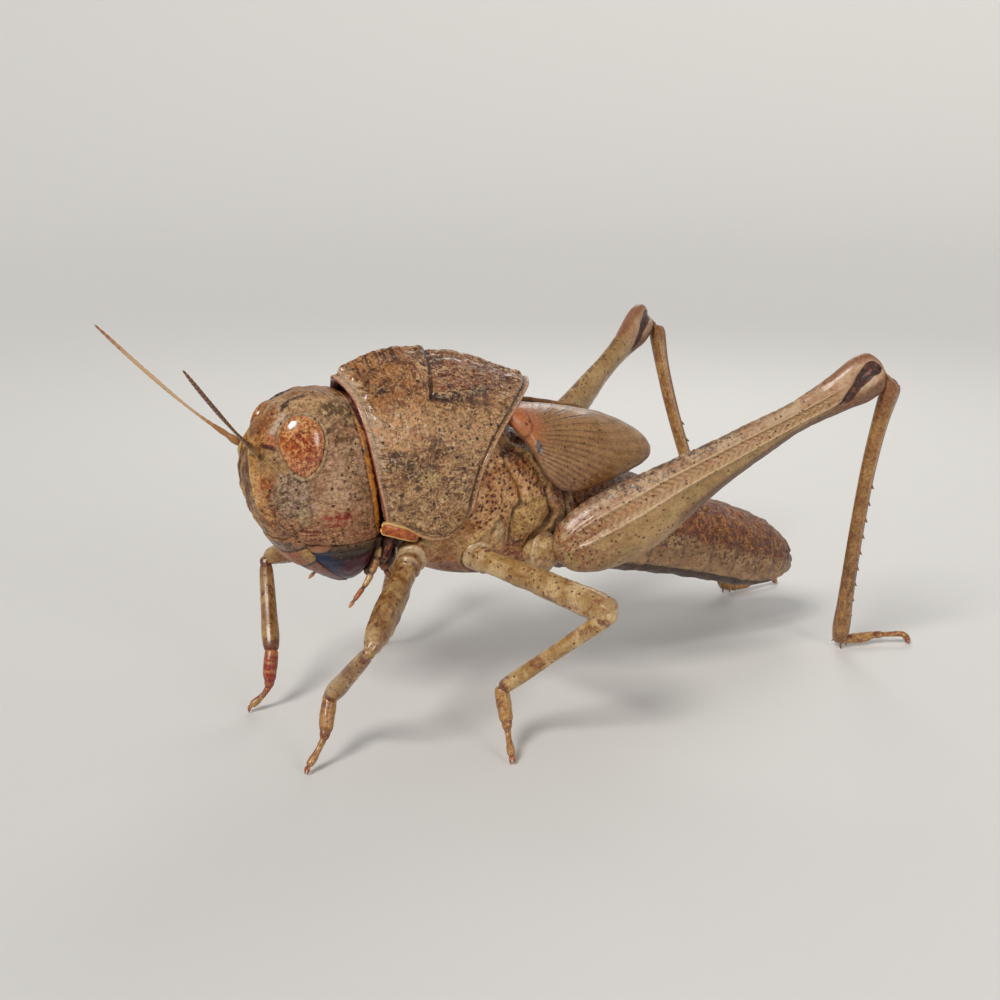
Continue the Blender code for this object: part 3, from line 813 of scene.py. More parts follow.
def head_finish():
    f = Finish("head_cuticle", (0.86, 0.88, 0.89), roughness=0.48, coat=0.12, coat_roughness=0.2, skin=0.08,
               specular=0.3)
    x, y, z, side = f.x, f.y, f.z, f.side
    ahead = (side, z)
    cloudy = f.noise(0.9, 3)
    f.colour = f.mix(cloudy.step(0.36, 0.6), (190, 152, 118), (220, 188, 158))
    f.paint(z.step(12.6, 11.2) * 0.65, (192, 142, 106))
    # Brown freckles crowd on the crown, behind the eye and below it.
    freckles = f.noise(4, 5, 0.75, at=(1, 0.7, 1.3)).step(0.5, 0.58)
    crowd = f.noise(1.1, 3).step(0.4, 0.6)
    bare = f.spot((-0.2, 12.7), (1, 1.6), 0.6).ragged(1.4, 0.3, 0.5)
    f.paint(freckles * (crowd * 0.65 + 0.2) * (1 - bare * 0.7), (128, 88, 56))
    clouds = f.noise(1.5, 5, 0.7, twist=0.4).step(0.5, 0.62)
    f.paint(clouds * 0.35, (164, 128, 98))
    # The face between the eyes and down to the lip: ochre, brown and cream, in streaks from top to foot.
    streaks = f.noise(1.7, 5, 0.68, at=(1, 1, 0.4), twist=0.3)
    face = f.mix(streaks.step(0.44, 0.56), (214, 168, 104), (136, 80, 32))
    front = (y + side * 0.42).step(-1.25, -1.85)
    f.paint(front, face)
    cream = f.noise(2.2, 5, 0.7, at=(1, 1, 0.5)).step(0.5, 0.6)
    f.paint(cream * front * (z.step(14.4, 12.2) * 0.5 + 0.25), (216, 186, 144))
    green = f.noise(1.5, 3, 0.6, at=(1, 1, 0.4)).step(0.52, 0.62) * side.step(0.95, 0.7)
    f.paint(green * front * 0.5, (138, 118, 58))
    crown = z.step(15.4, 16.4)
    f.paint(crown * 0.7, (222, 190, 148))
    blotch = crown.ragged(1.5, 0.5, 0.6)
    f.paint(blotch * 0.45, (150, 104, 58))
    f.paint((z + f.noise(1.6, 3) * 0.5).step(17.2, 17.6) * 0.6, (164, 112, 58))
    ochre = (f.spot((-2.1, 16), (0.8, 0.9), 0.5) * side.step(1.25, 0.95)).ragged(2, 0.38, 0.56)
    f.paint(ochre * 0.75, (178, 112, 44))
    # The ridge down the face is pale yellow; beside it run a cream, an orange and a brown streak.
    pale_ridge = f.line(((0.6, 14.9), (0.7, 14.4), (0.9, 13.7), (0.93, 12.5), (1.05, 11.6)), 0.11, ahead)
    f.paint(pale_ridge * front * 0.8, (232, 208, 152))
    band = f.line(((1.25, 13.6), (1.2, 12.8), (1.35, 11.6)), 0.3, ahead) * front
    f.paint(band * 0.85, (236, 190, 138))
    orange = f.spot((1.72, 13.55), (0.36, 0.55), 0.6, ahead) * y.step(-1.4, -1.8)
    f.paint(orange.ragged(2.4, 0.36, 0.52) * 0.75, (200, 122, 58))
    brown = f.spot((1.7, 12.7), (0.4, 1), 0.6, ahead) * y.step(-1.4, -1.8)
    f.paint(brown.ragged(2.8, 0.47, 0.57) * 0.75, (140, 78, 34))
    low_face = f.spot((1.35, 11.5), (0.8, 0.6), 0.6, ahead) * y.step(-1.2, -1.6)
    f.paint(low_face.ragged(3, 0.46, 0.56) * 0.7, (150, 92, 70))
    # Below the eye: pale grey-lilac with dark mottles, and a pale green patch against the suture.
    cheek = f.spot((-1.6, 12.9), (0.75, 1.25), 0.5)
    f.paint(cheek * 0.75, (204, 180, 156))
    f.paint(cheek.ragged(2.6, 0.48, 0.58) * 0.75, (118, 94, 72))
    lilac = f.spot((-1.3, 12.4), (0.7, 0.9), 0.6)
    f.paint(lilac.ragged(1.9, 0.46, 0.6) * 0.6, (200, 168, 162))
    patch = f.spot((-1.1, 11.75), (0.3, 0.5), 0.4) * side.step(1.6, 2)
    f.paint(patch.ragged(3, 0.36, 0.5) * 0.6, (206, 190, 156))
    # Between the antenna and the eye: white, cream and a dark red corner.
    beside = side.step(1, 1.25)
    f.paint(f.line(((-1.75, 16), (-1.8, 14.9), (-1.85, 14)), 0.24) * beside * 0.75, (214, 180, 134))
    f.paint(f.stroke((-1.5, 16.5), (-2.2, 15.6), 0.2) * beside * 0.9, (226, 204, 188))
    f.paint(f.spot((-2.2, 15.3), (0.3, 0.3), 0.6) * beside * 0.7, (212, 142, 96))
    socket = f.spot((-2.5, 14.3), (0.42, 0.75), 0.4) * side.step(0.95, 1.15)
    f.paint(socket.ragged(2.4, 0.3, 0.5) * 0.6, (206, 178, 136))
    f.paint(f.line(((-2.66, 14.98), (-2.4, 15.05), (-2.2, 14.98)), 0.13) * beside * 0.9, (112, 40, 20))
    scape = side.step(0.5, 0.8) * f.noise(3, 3).step(0.3, 0.5)
    f.paint(f.spot((-2.75, 14.72), (0.2, 0.3), 0.5) * scape * 0.8, (122, 70, 34))
    # Rear of the cheek: a yellow-orange band, then a dark red-brown line under the shield's edge, partly
    # painted shade where the shield's rim laps over the head.
    down = 16 - z
    rear = y - (1.62 + down * 0.10 + down * down * 0.012)
    low = z.step(16.3, 15.2)
    f.paint(rear.step(0, 0.14) * f.noise(1.6, 3).step(0.28, 0.45) * (low * 0.65 + 0.3), (240, 172, 68))
    f.paint((rear - low * 0.2).step(0.12, 0.26), (112, 38, 14))
    f.paint(abs(rear).step(0.08, 0.02) * 0.6, (120, 70, 30))
    # Olive-dark streaks behind the eye and on the crown.
    olive = f.spot((0.95, 16.55), (0.95, 0.45), 0.6).ragged(3.6, 0.4, 0.52)
    f.paint(olive * 0.75, (98, 72, 32))
    arcs = f.line(((0.1, 15.72), (0.8, 16.02), (1.6, 15.8)), 0.14)
    arcs = arcs.most(f.stroke((0.4, 15.3), (1.7, 15.35), 0.12) * 0.7)
    f.paint(arcs.ragged(3, 0.34, 0.5) * side.step(1.4, 1.8) * 0.7, (108, 72, 38))
    frayed = (f.noise(4, 4, 0.7) - 0.5) * 0.25
    mark = f.line(((0.92, -1.3), (0.8, -1), (0.86, -0.7), (0.92, -0.4)), 0.22, (side + frayed, y + frayed))
    f.paint(mark * z.step(16.2, 16.5) * 0.9, (78, 42, 12))
    # Foot of the cheek: a red smudge and red-brown lines.
    smudge = f.spot((0.42, 11.7), (0.8, 0.2), 0.7) * f.noise(3, 2).step(0.35, 0.6)
    smudge = smudge.most(f.spot((0.3, 11.3), (0.6, 0.12), 0.7) * 0.5)
    f.paint(smudge * 0.8, (192, 68, 56))
    strokes = f.stroke((-1.15, 10.95), (-0.5, 10.98), 0.09).most(f.stroke((-1, 10.78), (-0.6, 10.8), 0.06))
    f.paint(strokes.ragged(4, 0.34, 0.5) * side.step(1.9, 2.2) * 0.8, (146, 62, 40))
    lines = f.noise(1.1, 3, at=(0.6, 0.5, 4.5)).step(0.5, 0.58) * z.step(11.2, 10.8)
    f.paint(lines * 0.55, (150, 84, 56))
    suture = f.line(((-1, 13.5), (-0.95, 12.4), (-0.82, 11.9), (-0.88, 11.2)), 0.07) * side.step(1.4, 1.8)
    f.paint(suture * 0.4, (130, 100, 70))
    # Fine lengthwise wrinkles behind the eye.
    arched = z + (y - 0.2) * (y - 0.2) * 0.16
    bowed = f.node("ShaderNodeCombineXYZ", {}, {0: x * 0.9, 1: y * 0.8, 2: arched * 3.4})
    creases = f.noise(1, 3, 0.6, at=bowed, twist=0.6)
    crease = creases.step(0.55, 0.66) * y.step(-0.4, 0.6) * z.step(12, 13.2)
    f.paint(crease * 0.35, (140, 102, 70))
    pink = f.noise(1.2, 3).step(0.54, 0.66) * y.step(-0.8, 0)
    f.paint(pink * 0.4, (214, 168, 148))
    ring = f["eye"]
    behind = (y - z * 0.3).step(-6.1, -5.2) * 0.6 + 0.4
    f.paint(abs(ring - 1.07).step(0.06, 0.02) * behind * 0.75, (200, 184, 152))
    f.paint(abs(ring - 1.15).step(0.03, 0.01) * behind * 0.4, (132, 104, 74))
    # Where the head meets the eye it is painted dark, as painted shade in the socket.
    f.paint(ring.step(1.01, 0.97) * 0.8, (86, 52, 28))
    f.weather(0.85)
    dots = f.dots(2.6, 0.24, 0.25)
    f.paint(dots * 0.8, (80, 46, 24))
    specks = f.dots(5.2, 0.27, 0.4)
    f.paint(specks * 0.45, (104, 66, 38))
    # The inside of the mouth is painted dark, as painted shade.
    f.paint(z.step(10.2, 9.9), (58, 28, 14))
    fine = f.noise(6, 4, 0.65)
    height = fine * 0.7 + f.noise(2.6, 3) * 0.8 - dots * 0.5 - lines * 0.3 - creases * 2
    return f.done(0.3 + fine * 0.3, height, 0.14, 0.75)


def eye_finish():
    f = Finish("eye", (0.9, 0.95, 0.78), roughness=0.2, coat=0.9, coat_roughness=0.12)
    tone = f.noise(1.3, 3)
    f.colour = f.mix(tone.step(0.38, 0.62), (170, 84, 38), (196, 112, 64))
    f.paint(f.y.step(-1.35, -1.95) * 0.7, (204, 132, 62))
    top = (f.z + (tone - 0.5) * 0.8).step(15.55, 16.1)
    f.paint(top * 0.6, (214, 160, 116))
    olive = f.noise(2.6, 3, 0.6, twist=0.6).step(0.5, 0.6) * f.z.step(15.4, 15.9)
    f.paint(olive * 0.6, (120, 84, 42))
    wide = f.noise(2, 3, 0.6, at=f.moved(7.7, 2.1, 0.4)).step(0.5, 0.6)
    f.paint(wide * 0.5, (222, 160, 112))
    curly = f.noise(5.2, 4, 0.68, twist=0.8).step(0.49, 0.56)
    f.paint(curly * 0.8, (234, 188, 140))
    dark = f.noise(6, 4, 0.7, at=f.moved(3.1, 1.7, 5.9)).step(0.52, 0.6)
    f.paint(dark * 0.75, (116, 42, 14))
    facets = f.cells(15, at=f.place, random=0.3)
    return f.done(None, facets, 0.012, 0.25)


def antenna_finish():
    f = Finish("antenna", (1.1, 1.15, 1.2), roughness=0.4, coat=0.3)
    run = f["run"]
    joint = f["joint"]
    # The two antennae are one material painted in different light: the left one darker, as painted shade, the
    # right one paler, as painted light.
    painted_light_side = f.x.step(0, 0.3)
    near = f.mix(run.step(0.4, 1.6), (176, 142, 100), (120, 86, 58))
    near = f.mix(run.step(5.5, 8) * 0.6, near, (146, 84, 52))
    far = f.mix(run.step(1.5, 3), (176, 132, 84), (204, 176, 142))
    far = f.mix(run.step(6.5, 8.4) * 0.8, far, (164, 106, 72))
    f.colour = f.mix(painted_light_side, far, near)
    f.paint(joint * 0.5, (206, 172, 132))
    f.paint(f.dots(4, 0.25, 0.5) * 0.4, (70, 40, 20))
    return f.done(None, f.noise(10, 2), 0.03, 0.4)


def palp_finish():
    f = Finish("palp", (1.1, 1.12, 1.1), roughness=0.36, coat=0.4)
    joint = f["joint"]
    tone = f.noise(2.5, 3)
    f.colour = f.mix(f.z.step(8, 7.5), (206, 176, 132), (196, 124, 68))
    f.paint(tone.step(0.48, 0.62) * 0.6, (166, 98, 50))
    f.paint(f.y.step(3.2, 3.5) * 0.5, (190, 104, 56))
    f.paint(joint * 0.85, (96, 40, 16))
    f.paint(f.z.step(7.3, 6.9) * f.y.step(2.6, 2) * 0.6, (220, 184, 132))
    f.weather(0.7)
    f.paint(f.dots(5, 0.25, 0.5) * 0.5, (94, 50, 26))
    return f.done(None, f.noise(10, 2), 0.03, 0.4)


def mouth_finish():
    f = Finish("mouth_lobes", (1.2, 1.2, 1.2), roughness=0.4, coat=0.3)
    tone = f.noise(2, 4, 0.65)
    f.colour = f.mix(tone.step(0.4, 0.6), (112, 56, 28), (66, 30, 16))
    f.paint(f.noise(5, 3).step(0.54, 0.64) * 0.6, (176, 128, 88))
    return f.done(None, tone, 0.08, 0.5)


def jaw_finish():
    f = Finish("jaw", (1, 0.84, 0.8), roughness=0.34, coat=0.3, coat_roughness=0.15, specular=0.3)
    y, z = f.y, f.z
    tone = f.noise(1.8, 4, 0.65)
    # Near black, dark olive above, blue along the edge of the lip and wine-red at the rear.
    f.colour = f.mix(tone.step(0.35, 0.65), (26, 28, 36), (44, 42, 46))
    upper = (z + (tone - 0.5) * 0.8).step(9.15, 9.6)
    f.paint(upper * 0.85, (96, 88, 74))
    slope = y - (10.05 - z) * 1.1 + 1.1
    blue = (slope + (tone - 0.5) * 0.9).step(1.2, 0.4)
    f.paint(blue * 0.9, (28, 60, 112))
    wine = f.spot((1.75, 8.7), (1, 0.75), 0.6).ragged(1.6, 0.3, 0.5)
    f.paint(wine * 0.9, (112, 20, 66))
    # The cheek's lower corner laps over the jaw's.
    flap = f.spot((-0.4, 10.2), (0.5, 0.42), 0.25)
    f.paint(flap * 0.9, (204, 160, 128))
    tan = (z + (tone - 0.5) * 0.6).step(9.8, 10.1)
    f.paint(tan * 0.6, (156, 126, 100))
    grains = f.noise(5, 4, 0.75).step(0.54, 0.64)
    f.paint(grains * (upper * 0.4 + 0.15), (168, 148, 122))
    specks = f.dots(2.8, 0.3, 0.2)
    f.paint(specks * 0.9, (16, 12, 14))
    height = f.noise(5, 4, 0.65) - specks * 0.4
    return f.done(0.3 + tone * 0.15, height, 0.08, 0.5)


def lip_finish():
    """Shield of the mouth above, the lip below it, and a narrow strip under that."""
    f = Finish("lip", (0.86, 0.84, 0.8), roughness=0.4, coat=0.2)
    z, side = f.z, f.side
    square = side * side
    upper = z - (square * 0.12 + 9.5)
    lower = z - (square * 0.17 + 8.62)
    tone = f.noise(1.8, 4, at=(1, 1, 0.5))
    f.colour = f.mix(tone.step(0.38, 0.6), (212, 164, 104), (184, 112, 60))
    f.paint(side.step(1.5, 2) * 0.7, (204, 184, 122))
    above = upper.step(-0.04, 0.04)
    shield = f.mix(f.noise(2.4, 4, 0.7).step(0.42, 0.56), (194, 154, 116), (128, 96, 62))
    f.paint(above, shield)
    f.paint(upper.step(0.5, 0.9) * 0.6, (206, 176, 138))
    below = lower.step(0.04, -0.04)
    strip = f.mix(tone.step(0.42, 0.6), (176, 112, 70), (136, 74, 44))
    f.paint(below, strip)
    f.paint(lower.step(-0.3, -0.8) * below * 0.6, (112, 58, 34))
    f.paint(abs(upper).step(0.08, 0.02) * 0.7, (92, 52, 24))
    f.paint(abs(lower).step(0.08, 0.02) * 0.8, (78, 36, 18))
    f.weather(0.8)
    f.paint(f.dots(3.2, 0.22, 0.35) * 0.7, (88, 46, 22))
    fine = f.noise(7, 4, 0.65)
    return f.done(0.3 + fine * 0.25, fine, 0.09, 0.55)


def shield_finish():
    f = Finish("shield_cuticle", (1.18, 1.06, 0.84), roughness=0.45, coat=0.6, coat_roughness=0.13,
               skin=0.05)
    y, z, side = f.y, f.z, f.side
    edge = f["edge"]
    # Behind the main groove the wrinkles run lengthwise.
    back = y.step(5.8, 6.5)
    warp = f.swayed(2.6, 0.34)
    long_place = f.stretched((1.15, 0.4, 1.4), warp)
    round_net = f.cells(3, "DISTANCE_TO_EDGE", at=warp)
    long_net = f.cells(3.4, "DISTANCE_TO_EDGE", at=long_place)
    net = (round_net + (long_net - round_net) * back).step(0.15, 0.02)
    round_curls = f.noise(2.5, 2, 0.6, twist=0.6)
    long_curls = f.noise(2.5, 2, 0.6, at=(1.1, 0.55, 1.3), twist=0.6)
    curls = round_curls + (long_curls - round_curls) * back
    curl = abs(curls - 0.5).step(0.055, 0.02)
    hollow = curls.step(0.47, 0.38)
    # Wide patches of colour.
    wide = f.noise(0.6, 4, 0.65)
    f.colour = f.mix(wide.step(0.36, 0.6), (196, 150, 104), (226, 190, 150))
    upper = (z + side * 0.25).step(16.6, 17.5)
    f.paint(upper * 0.75, (200, 146, 86))
    f.paint(upper * back * 0.6, (172, 104, 44))
    broad = f.noise(0.95, 4, 0.7, at=f.moved(4, 0, 9)).step(0.48, 0.6)
    f.paint(broad * 0.4, (144, 96, 58))
    f.paint(z.step(13.4, 12) * 0.6, (182, 154, 116))
    f.paint(f.spot((3.9, 15.4), (1.8, 1.3), 0.7) * 0.75, (224, 184, 152))
    f.paint(f.spot((7.2, 14.8), (1.3, 0.9), 0.7) * 0.65, (214, 186, 166))
    f.paint(f.spot((6.8, 13.2), (1.3, 1.6), 0.6) * back * 0.5, (170, 146, 122))
    mottle = f.noise(1.7, 5, 0.68, at=(1, 0.7, 1), twist=0.4).step(0.5, 0.6)
    f.paint(mottle * 0.6, (140, 92, 48))
    rusty = f.line(((7, 18.3), (6.7, 17.7), (6.5, 16.95)), 0.4).ragged(2, 0.3, 0.5)
    rusty = rusty.most(f.spot((8.6, 17.1), (2.6, 0.7), 0.6).ragged(2.2, 0.42, 0.56) * 0.8)
    rusty = rusty.most(f.spot((2.9, 13), (0.35, 0.25), 0.5) * 0.7)
    rusty = rusty.most(f.spot((5.9, 11.3), (0.4, 0.35), 0.5) * 0.7)
    f.paint(rusty * 0.8, (164, 96, 40))
    dark = f.spot((3.5, 14), (1.1, 0.5), 0.6).most(f.spot((4.5, 13.5), (0.9, 0.55), 0.6))
    dark = dark.most(f.spot((5.4, 14.3), (0.7, 0.8), 0.7) * 0.7)
    dark = dark.most(f.spot((3.2, 17.3), (0.6, 0.22), 0.6))
    dark = dark.ragged(2.8, 0.36, 0.54)
    f.paint(dark * 0.8, (84, 62, 26))
    # A painted shadow along the side, below the step at the edge of the disc.
    painted_shadow_under_disc = f.line(((6.1, 16.75), (7, 16.7), (8.2, 16.75), (9.3, 16.75)), 0.3).ragged(2.6, 0.34, 0.5)
    f.paint(painted_shadow_under_disc * 0.85, (72, 44, 14))
    fleck = f.spot((5.15, 13), (0.5, 0.42), 0.6).most(f.spot((2.15, 17), (0.35, 0.35), 0.6))
    f.paint(fleck * 0.8, (212, 194, 150))
    pale = f.spot((4, 15.5), (1.7, 1), 0.6).ragged(1.3, 0.3, 0.5)
    pale = pale.most(f.spot((7.4, 14.9), (1.3, 0.8), 0.6).ragged(1.3, 0.34, 0.5) * 0.8)
    f.paint(pale * 0.7, (236, 200, 170))
    # Pale curls and net, dark hollows, and round dots of several sizes.
    f.paint(hollow * (0.5 - pale * 0.3), (114, 70, 34))
    f.paint(net * f.noise(2.5, 3, 0.6).step(0.46, 0.62) * (back * 0.4 + 0.25), (230, 206, 178))
    f.paint(curl * (wide.step(0.4, 0.6) * 0.35 + 0.5), (232, 208, 180))
    frost = f.noise(4.4, 4, 0.7, at=f.vector("ADD", long_place, (2.2, 6.1, 0.3))).step(0.53, 0.6)
    frost = frost * (z + side * 0.3).step(17.4, 16.2)
    f.paint(frost * 0.45, (228, 204, 176))
    f.weather(0.8)
    large = f.dots(1.15, 0.26, 0.1)
    f.paint(large.ragged(3, 0.34, 0.5) * 0.8, (100, 60, 26))
    spots = f.dots(1.9, 0.23, 0.15)
    f.paint(spots * 0.85, (80, 44, 18))
    dots = f.dots(3.4, 0.24, 0.25)
    f.paint(dots * 0.75, (84, 46, 20))
    # Dark bars across the crest, the groove behind them and the rims.
    bars = f.noise(1, 2, at=(0.3, 3.4, 0.3)).step(0.54, 0.62) * (z + side * 0.5).step(17.9, 18.25)
    f.paint(bars * side.step(1.1, 0.6) * 0.75, (92, 56, 20))
    notch = f.line(((6.7, 18.9), (6.15, 17.7), (5.82, 16.75)), 0.14)
    notch = notch.most(f.stroke((5.85, 16.75), (9, 16.15), 0.16) * 0.5)
    f.paint(notch.ragged(2, 0.3, 0.5) * 0.8, (86, 48, 18))
    # The wrinkled front edge is painted white: its own pale colour, and partly a painted highlight, stronger
    # on the upper part.
    front = (y - z.step(18, 10) * 1.2).step(2.9, 2.5)
    wrinkle = f.noise(1.7, 3, 0.6, at=(0.5, 0.5, 2.8), twist=0.3)
    white = (edge - wrinkle.step(0.4, 0.6) * 0.5).step(0.45, 0.05) * front
    f.paint(white * (z.step(12.4, 14.2) * 0.6 + 0.25), (230, 214, 202))
    lower = z.step(11.5, 11)
    groove = abs(edge - 0.29).step(0.09, 0.03) * (1 - front * 0.7) * (1 - lower * 0.5)
    f.paint(groove * 0.7, (88, 50, 24))
    rim = edge.step(0.22, 0.12)
    bead = f.weathered(f.mix(f.noise(3, 3), (220, 194, 174), (176, 138, 112)), 0.6)
    f.paint(rim * (1 - lower * 0.5) * 0.9, bead)
    f.paint(edge.step(0.1, 0.03) * front * 0.9, (132, 48, 20))
    height = net * 0.3 + curl * 0.45 - hollow * 0.4 + f.noise(6, 5, 0.75) * 0.9 - dots * 0.3 - spots * 0.4
    height = height * (1 - rim * 0.85)
    return f.done(0.42 - curl * 0.16 + hollow * 0.12 - rim * 0.12, height, 0.24, 0.9)


def plate_finish():
    f = Finish("neck_plate", (1, 0.95, 0.6), roughness=0.32, coat=0.4, coat_roughness=0.15)
    rise = f["rise"]
    tone = f.noise(2.6, 4, 0.7)
    f.colour = f.mix(tone.step(0.4, 0.6), (204, 136, 66), (172, 84, 34))
    spots = f.noise(5, 3, 0.7).step(0.54, 0.64)
    f.paint(spots * 0.8, (120, 40, 14))
    f.paint(abs(rise).step(0.62, 0.8), (226, 204, 174))
    return f.done(None, tone, 0.06, 0.5)


def thorax_finish():
    f = Finish("thorax_cuticle", (0.95, 0.89, 0.8), roughness=0.38, coat=0.4, coat_roughness=0.16,
               skin=0.05, specular=0.35)
    y, z = f.y, f.z
    groove = f["groove"]
    rim = f["rim"]
    cloudy = f.noise(0.9, 4, 0.65)
    f.colour = f.mix(cloudy.step(0.36, 0.58), (196, 152, 102), (230, 200, 160))
    # Ochre and olive behind the first groove.
    bulge = f.spot((10.75, 10.35), (1.3, 1), 0.5)
    f.paint(bulge * 0.8, f.mix(f.noise(1.8, 3).step(0.42, 0.58), (214, 188, 136), (176, 144, 88)))
    upper = f.stroke((9.6, 14.4), (11.6, 12.2), 0.8)
    f.paint(upper * 0.7, (158, 106, 48))
    # Red-brown dots crowd together on the plates.
    crowd = f.noise(1.6, 4, 0.65, twist=0.4).step(0.3, 0.44) * z.step(9.4, 10.6) * y.step(12.3, 11.8)
    crowd = crowd * (1 - bulge * 0.85)
    red_dots = f.dots(3.8, 0.48, 0)
    f.paint(crowd.ragged(2.6, 0.46, 0.62) * 0.4, (176, 104, 56))
    f.paint(red_dots * (crowd * 0.9 + 0.1), (124, 56, 22))
    soot = f.spot((10.3, 13.7), (1, 0.45), 0.6) * f.noise(3.2, 3).step(0.38, 0.52)
    f.paint(soot * 0.8, (72, 42, 16))
    yellow = f.stroke((9.7, 13), (10.2, 11.5), 0.22)
    f.paint(yellow * 0.8, (196, 140, 62))
    hind = y.step(11.9, 12.4)
    f.paint(hind * 0.75, f.mix(cloudy.step(0.4, 0.6), (136, 92, 56), (190, 152, 118)))
    white = f.spot((9.1, 9.75), (0.3, 0.55), 0.5).most(f.spot((12.3, 8.7), (0.5, 0.3), 0.5))
    white = white.most(f.spot((12.75, 9.9), (0.3, 0.45), 0.6) * 0.8)
    white = white.most(f.spot((13.5, 10.4), (0.3, 0.5), 0.6) * 0.6)
    f.paint(white * 0.8, (222, 202, 174))
    rusty = f.spot((10.2, 8.7), (0.6, 0.7), 0.6) * f.noise(4, 3, 0.7).step(0.42, 0.54)
    f.paint(rusty * 0.85, (92, 40, 14))
    low = z.step(9.3, 8.3)
    f.paint(low * 0.7, f.mix(f.noise(1.6, 4).step(0.42, 0.58), (160, 84, 38), (212, 162, 112)))
    under = z.step(8.1, 7.2)
    f.paint(under.ragged(1.6, 0.3, 0.5) * 0.85, (132, 54, 24))
    f.weather(0.8)
    dark_dots = f.dots(2.4, 0.28, 0.25)
    f.paint(dark_dots * (1 - under * 0.7) * 0.75, (76, 36, 14))
    specks = f.dots(5, 0.3, 0.3)
    f.paint(specks * 0.55, (92, 48, 20))
    f.paint(rim * 0.6, (214, 190, 140))
    # Painted shade in the grooves, darkest where they are cut deepest.
    f.paint(groove * groove * 0.8, (60, 30, 12))
    # Where the wing pads are rooted, and where the neck runs in under the shield, it is painted dark, as
    # painted shade under the pads and under the shield.
    f.paint(z.step(14.6, 15.1) * 0.8, (120, 78, 32))
    f.paint(y.step(4.6, 4), (84, 30, 12))
    fine = f.noise(6, 4, 0.7)
    height = fine * 0.8 + f.noise(2.4, 3) * 0.6 - dark_dots * 0.3 - red_dots * crowd * 0.4
    return f.done(0.24 + fine * 0.3, height, 0.18, 0.8)


def abdomen_finish():
    f = Finish("abdomen_cuticle", (0.73, 0.63, 0.4), roughness=0.45, coat=0.25, coat_roughness=0.25,
               skin=0.05)
    y = f.y
    level = f["level"]
    joint = f["joint"]
    shaded_fold = f["shaded_fold"]
    tone = f.noise(1, 4, 0.6)
    grains = f.cells(2.7, "DISTANCE_TO_EDGE", at=f.swayed(2.2, 0.5))
    top = f.mix(tone.step(0.38, 0.62), (158, 98, 44), (196, 138, 78))
    top = f.mix(grains.step(0.16, 0.03) * f.noise(2, 3).step(0.34, 0.56) * 0.85, top, (230, 190, 140))
    rusty = f.noise(3.2, 4, 0.7).step(0.46, 0.56)
    top = f.mix(rusty * 0.5, top, (136, 70, 28))
    dark = f.noise(2.6, 5, 0.75, twist=0.5).step(0.52, 0.6)
    top = f.mix(dark * 0.7, top, (92, 54, 20))
    flank = f.mix(f.noise(1.6, 3).step(0.35, 0.65), (190, 160, 136), (222, 196, 176))
    speckle = f.noise(5, 4, 0.7).step(0.5, 0.58)
    flank = f.mix(speckle * level.step(-0.6, -0.1) * 0.9, flank, (98, 62, 34))
    f.colour = f.mix((level + (tone - 0.5) * 0.5).step(-0.06, 0.1), flank, top)
    under = level.step(-0.75, -0.81)
    f.paint(under, f.mix(tone.step(0.4, 0.6), (96, 62, 40), (138, 96, 66)))
    # Painted shade in the crease of the fold along the lower side.
    f.paint(shaded_fold * 0.85, (40, 20, 10))
    f.weather(0.6)
    dots = f.dots(3, 0.26, 0.3)
    f.paint(dots * 0.7, (74, 38, 16))
    f.paint(joint * 0.45, (78, 46, 24))
    tip = y.step(29.8, 30.7)
    f.paint(tip * 0.4, (100, 58, 26))
    fine = f.noise(6.5, 4, 0.7)
    height = grains.step(0.25, 0.03) * 0.6 * level.step(-0.3, 0.1) + fine * 0.6 - dots * 0.3
    return f.done(0.34 + fine * 0.25, height, 0.15, 0.75)


def pad_finish():
    f = Finish("wing_pad_cuticle", (0.78, 0.79, 0.78), roughness=0.36, coat=0.4, coat_roughness=0.2,
               skin=0.08)
    y, z = f.y, f.z
    fan = f["fan"]
    far = f["far"]
    edge = f["edge"]
    tone = f.noise(0.9, 3)
    f.colour = f.mix(tone.step(0.35, 0.65), (176, 136, 90), (192, 154, 108))
    f.paint(z.step(13, 11.6) * 0.45, (156, 108, 62))
    phase = abs(fan.sum("FRACT", fan) - 0.5)
    line = (phase + (f.noise(3, 3) - 0.5) * 0.3).step(0.34, 0.5)
    shown = far.step(2.4, 3) * edge.step(0.05, 0.4)
    faint = far.step(8, 4) * f.noise(1.1, 3).step(0.3, 0.6) * 0.6 + 0.2
    f.paint(line * shown * faint, (112, 70, 38))
    f.paint(phase.step(0.2, 0.05) * shown * 0.25, (214, 178, 132))
    hinge = (far + (tone - 0.5) * 1.4).step(3.3, 2.2) * z.step(13.4, 14.2)
    f.paint(hinge * 0.75, (212, 144, 90))
    pink = (z + y * 0.3).step(17.9, 18.4) * y.step(12.6, 11.2)
    f.paint(pink * 0.7, (208, 140, 92))
    crease = f.stroke((10.6, 14.2), (11.2, 14.9), 0.1).most(f.stroke((11.2, 14.9), (11.15, 15.5), 0.08))
    f.paint(crease * 0.5, (140, 66, 32))
    slate = f.spot((11.3, 13.9), (0.16, 0.32), 0.6)
    f.paint(slate * 0.85, f.mix(f.noise(5, 2).step(0.45, 0.6), (40, 44, 56), (150, 160, 176)))
    f.weather(0.45)
    dots = f.dots(2, 0.18, 0.3)
    f.paint(dots * 0.9, (70, 34, 14))
    f.paint(edge.step(0.2, 0.04) * 0.6, (112, 64, 28))
    height = f.noise(5, 3) * 0.4 - line * shown * faint
    return f.done(0.34 + tone * 0.1, height, 0.05, 0.6)


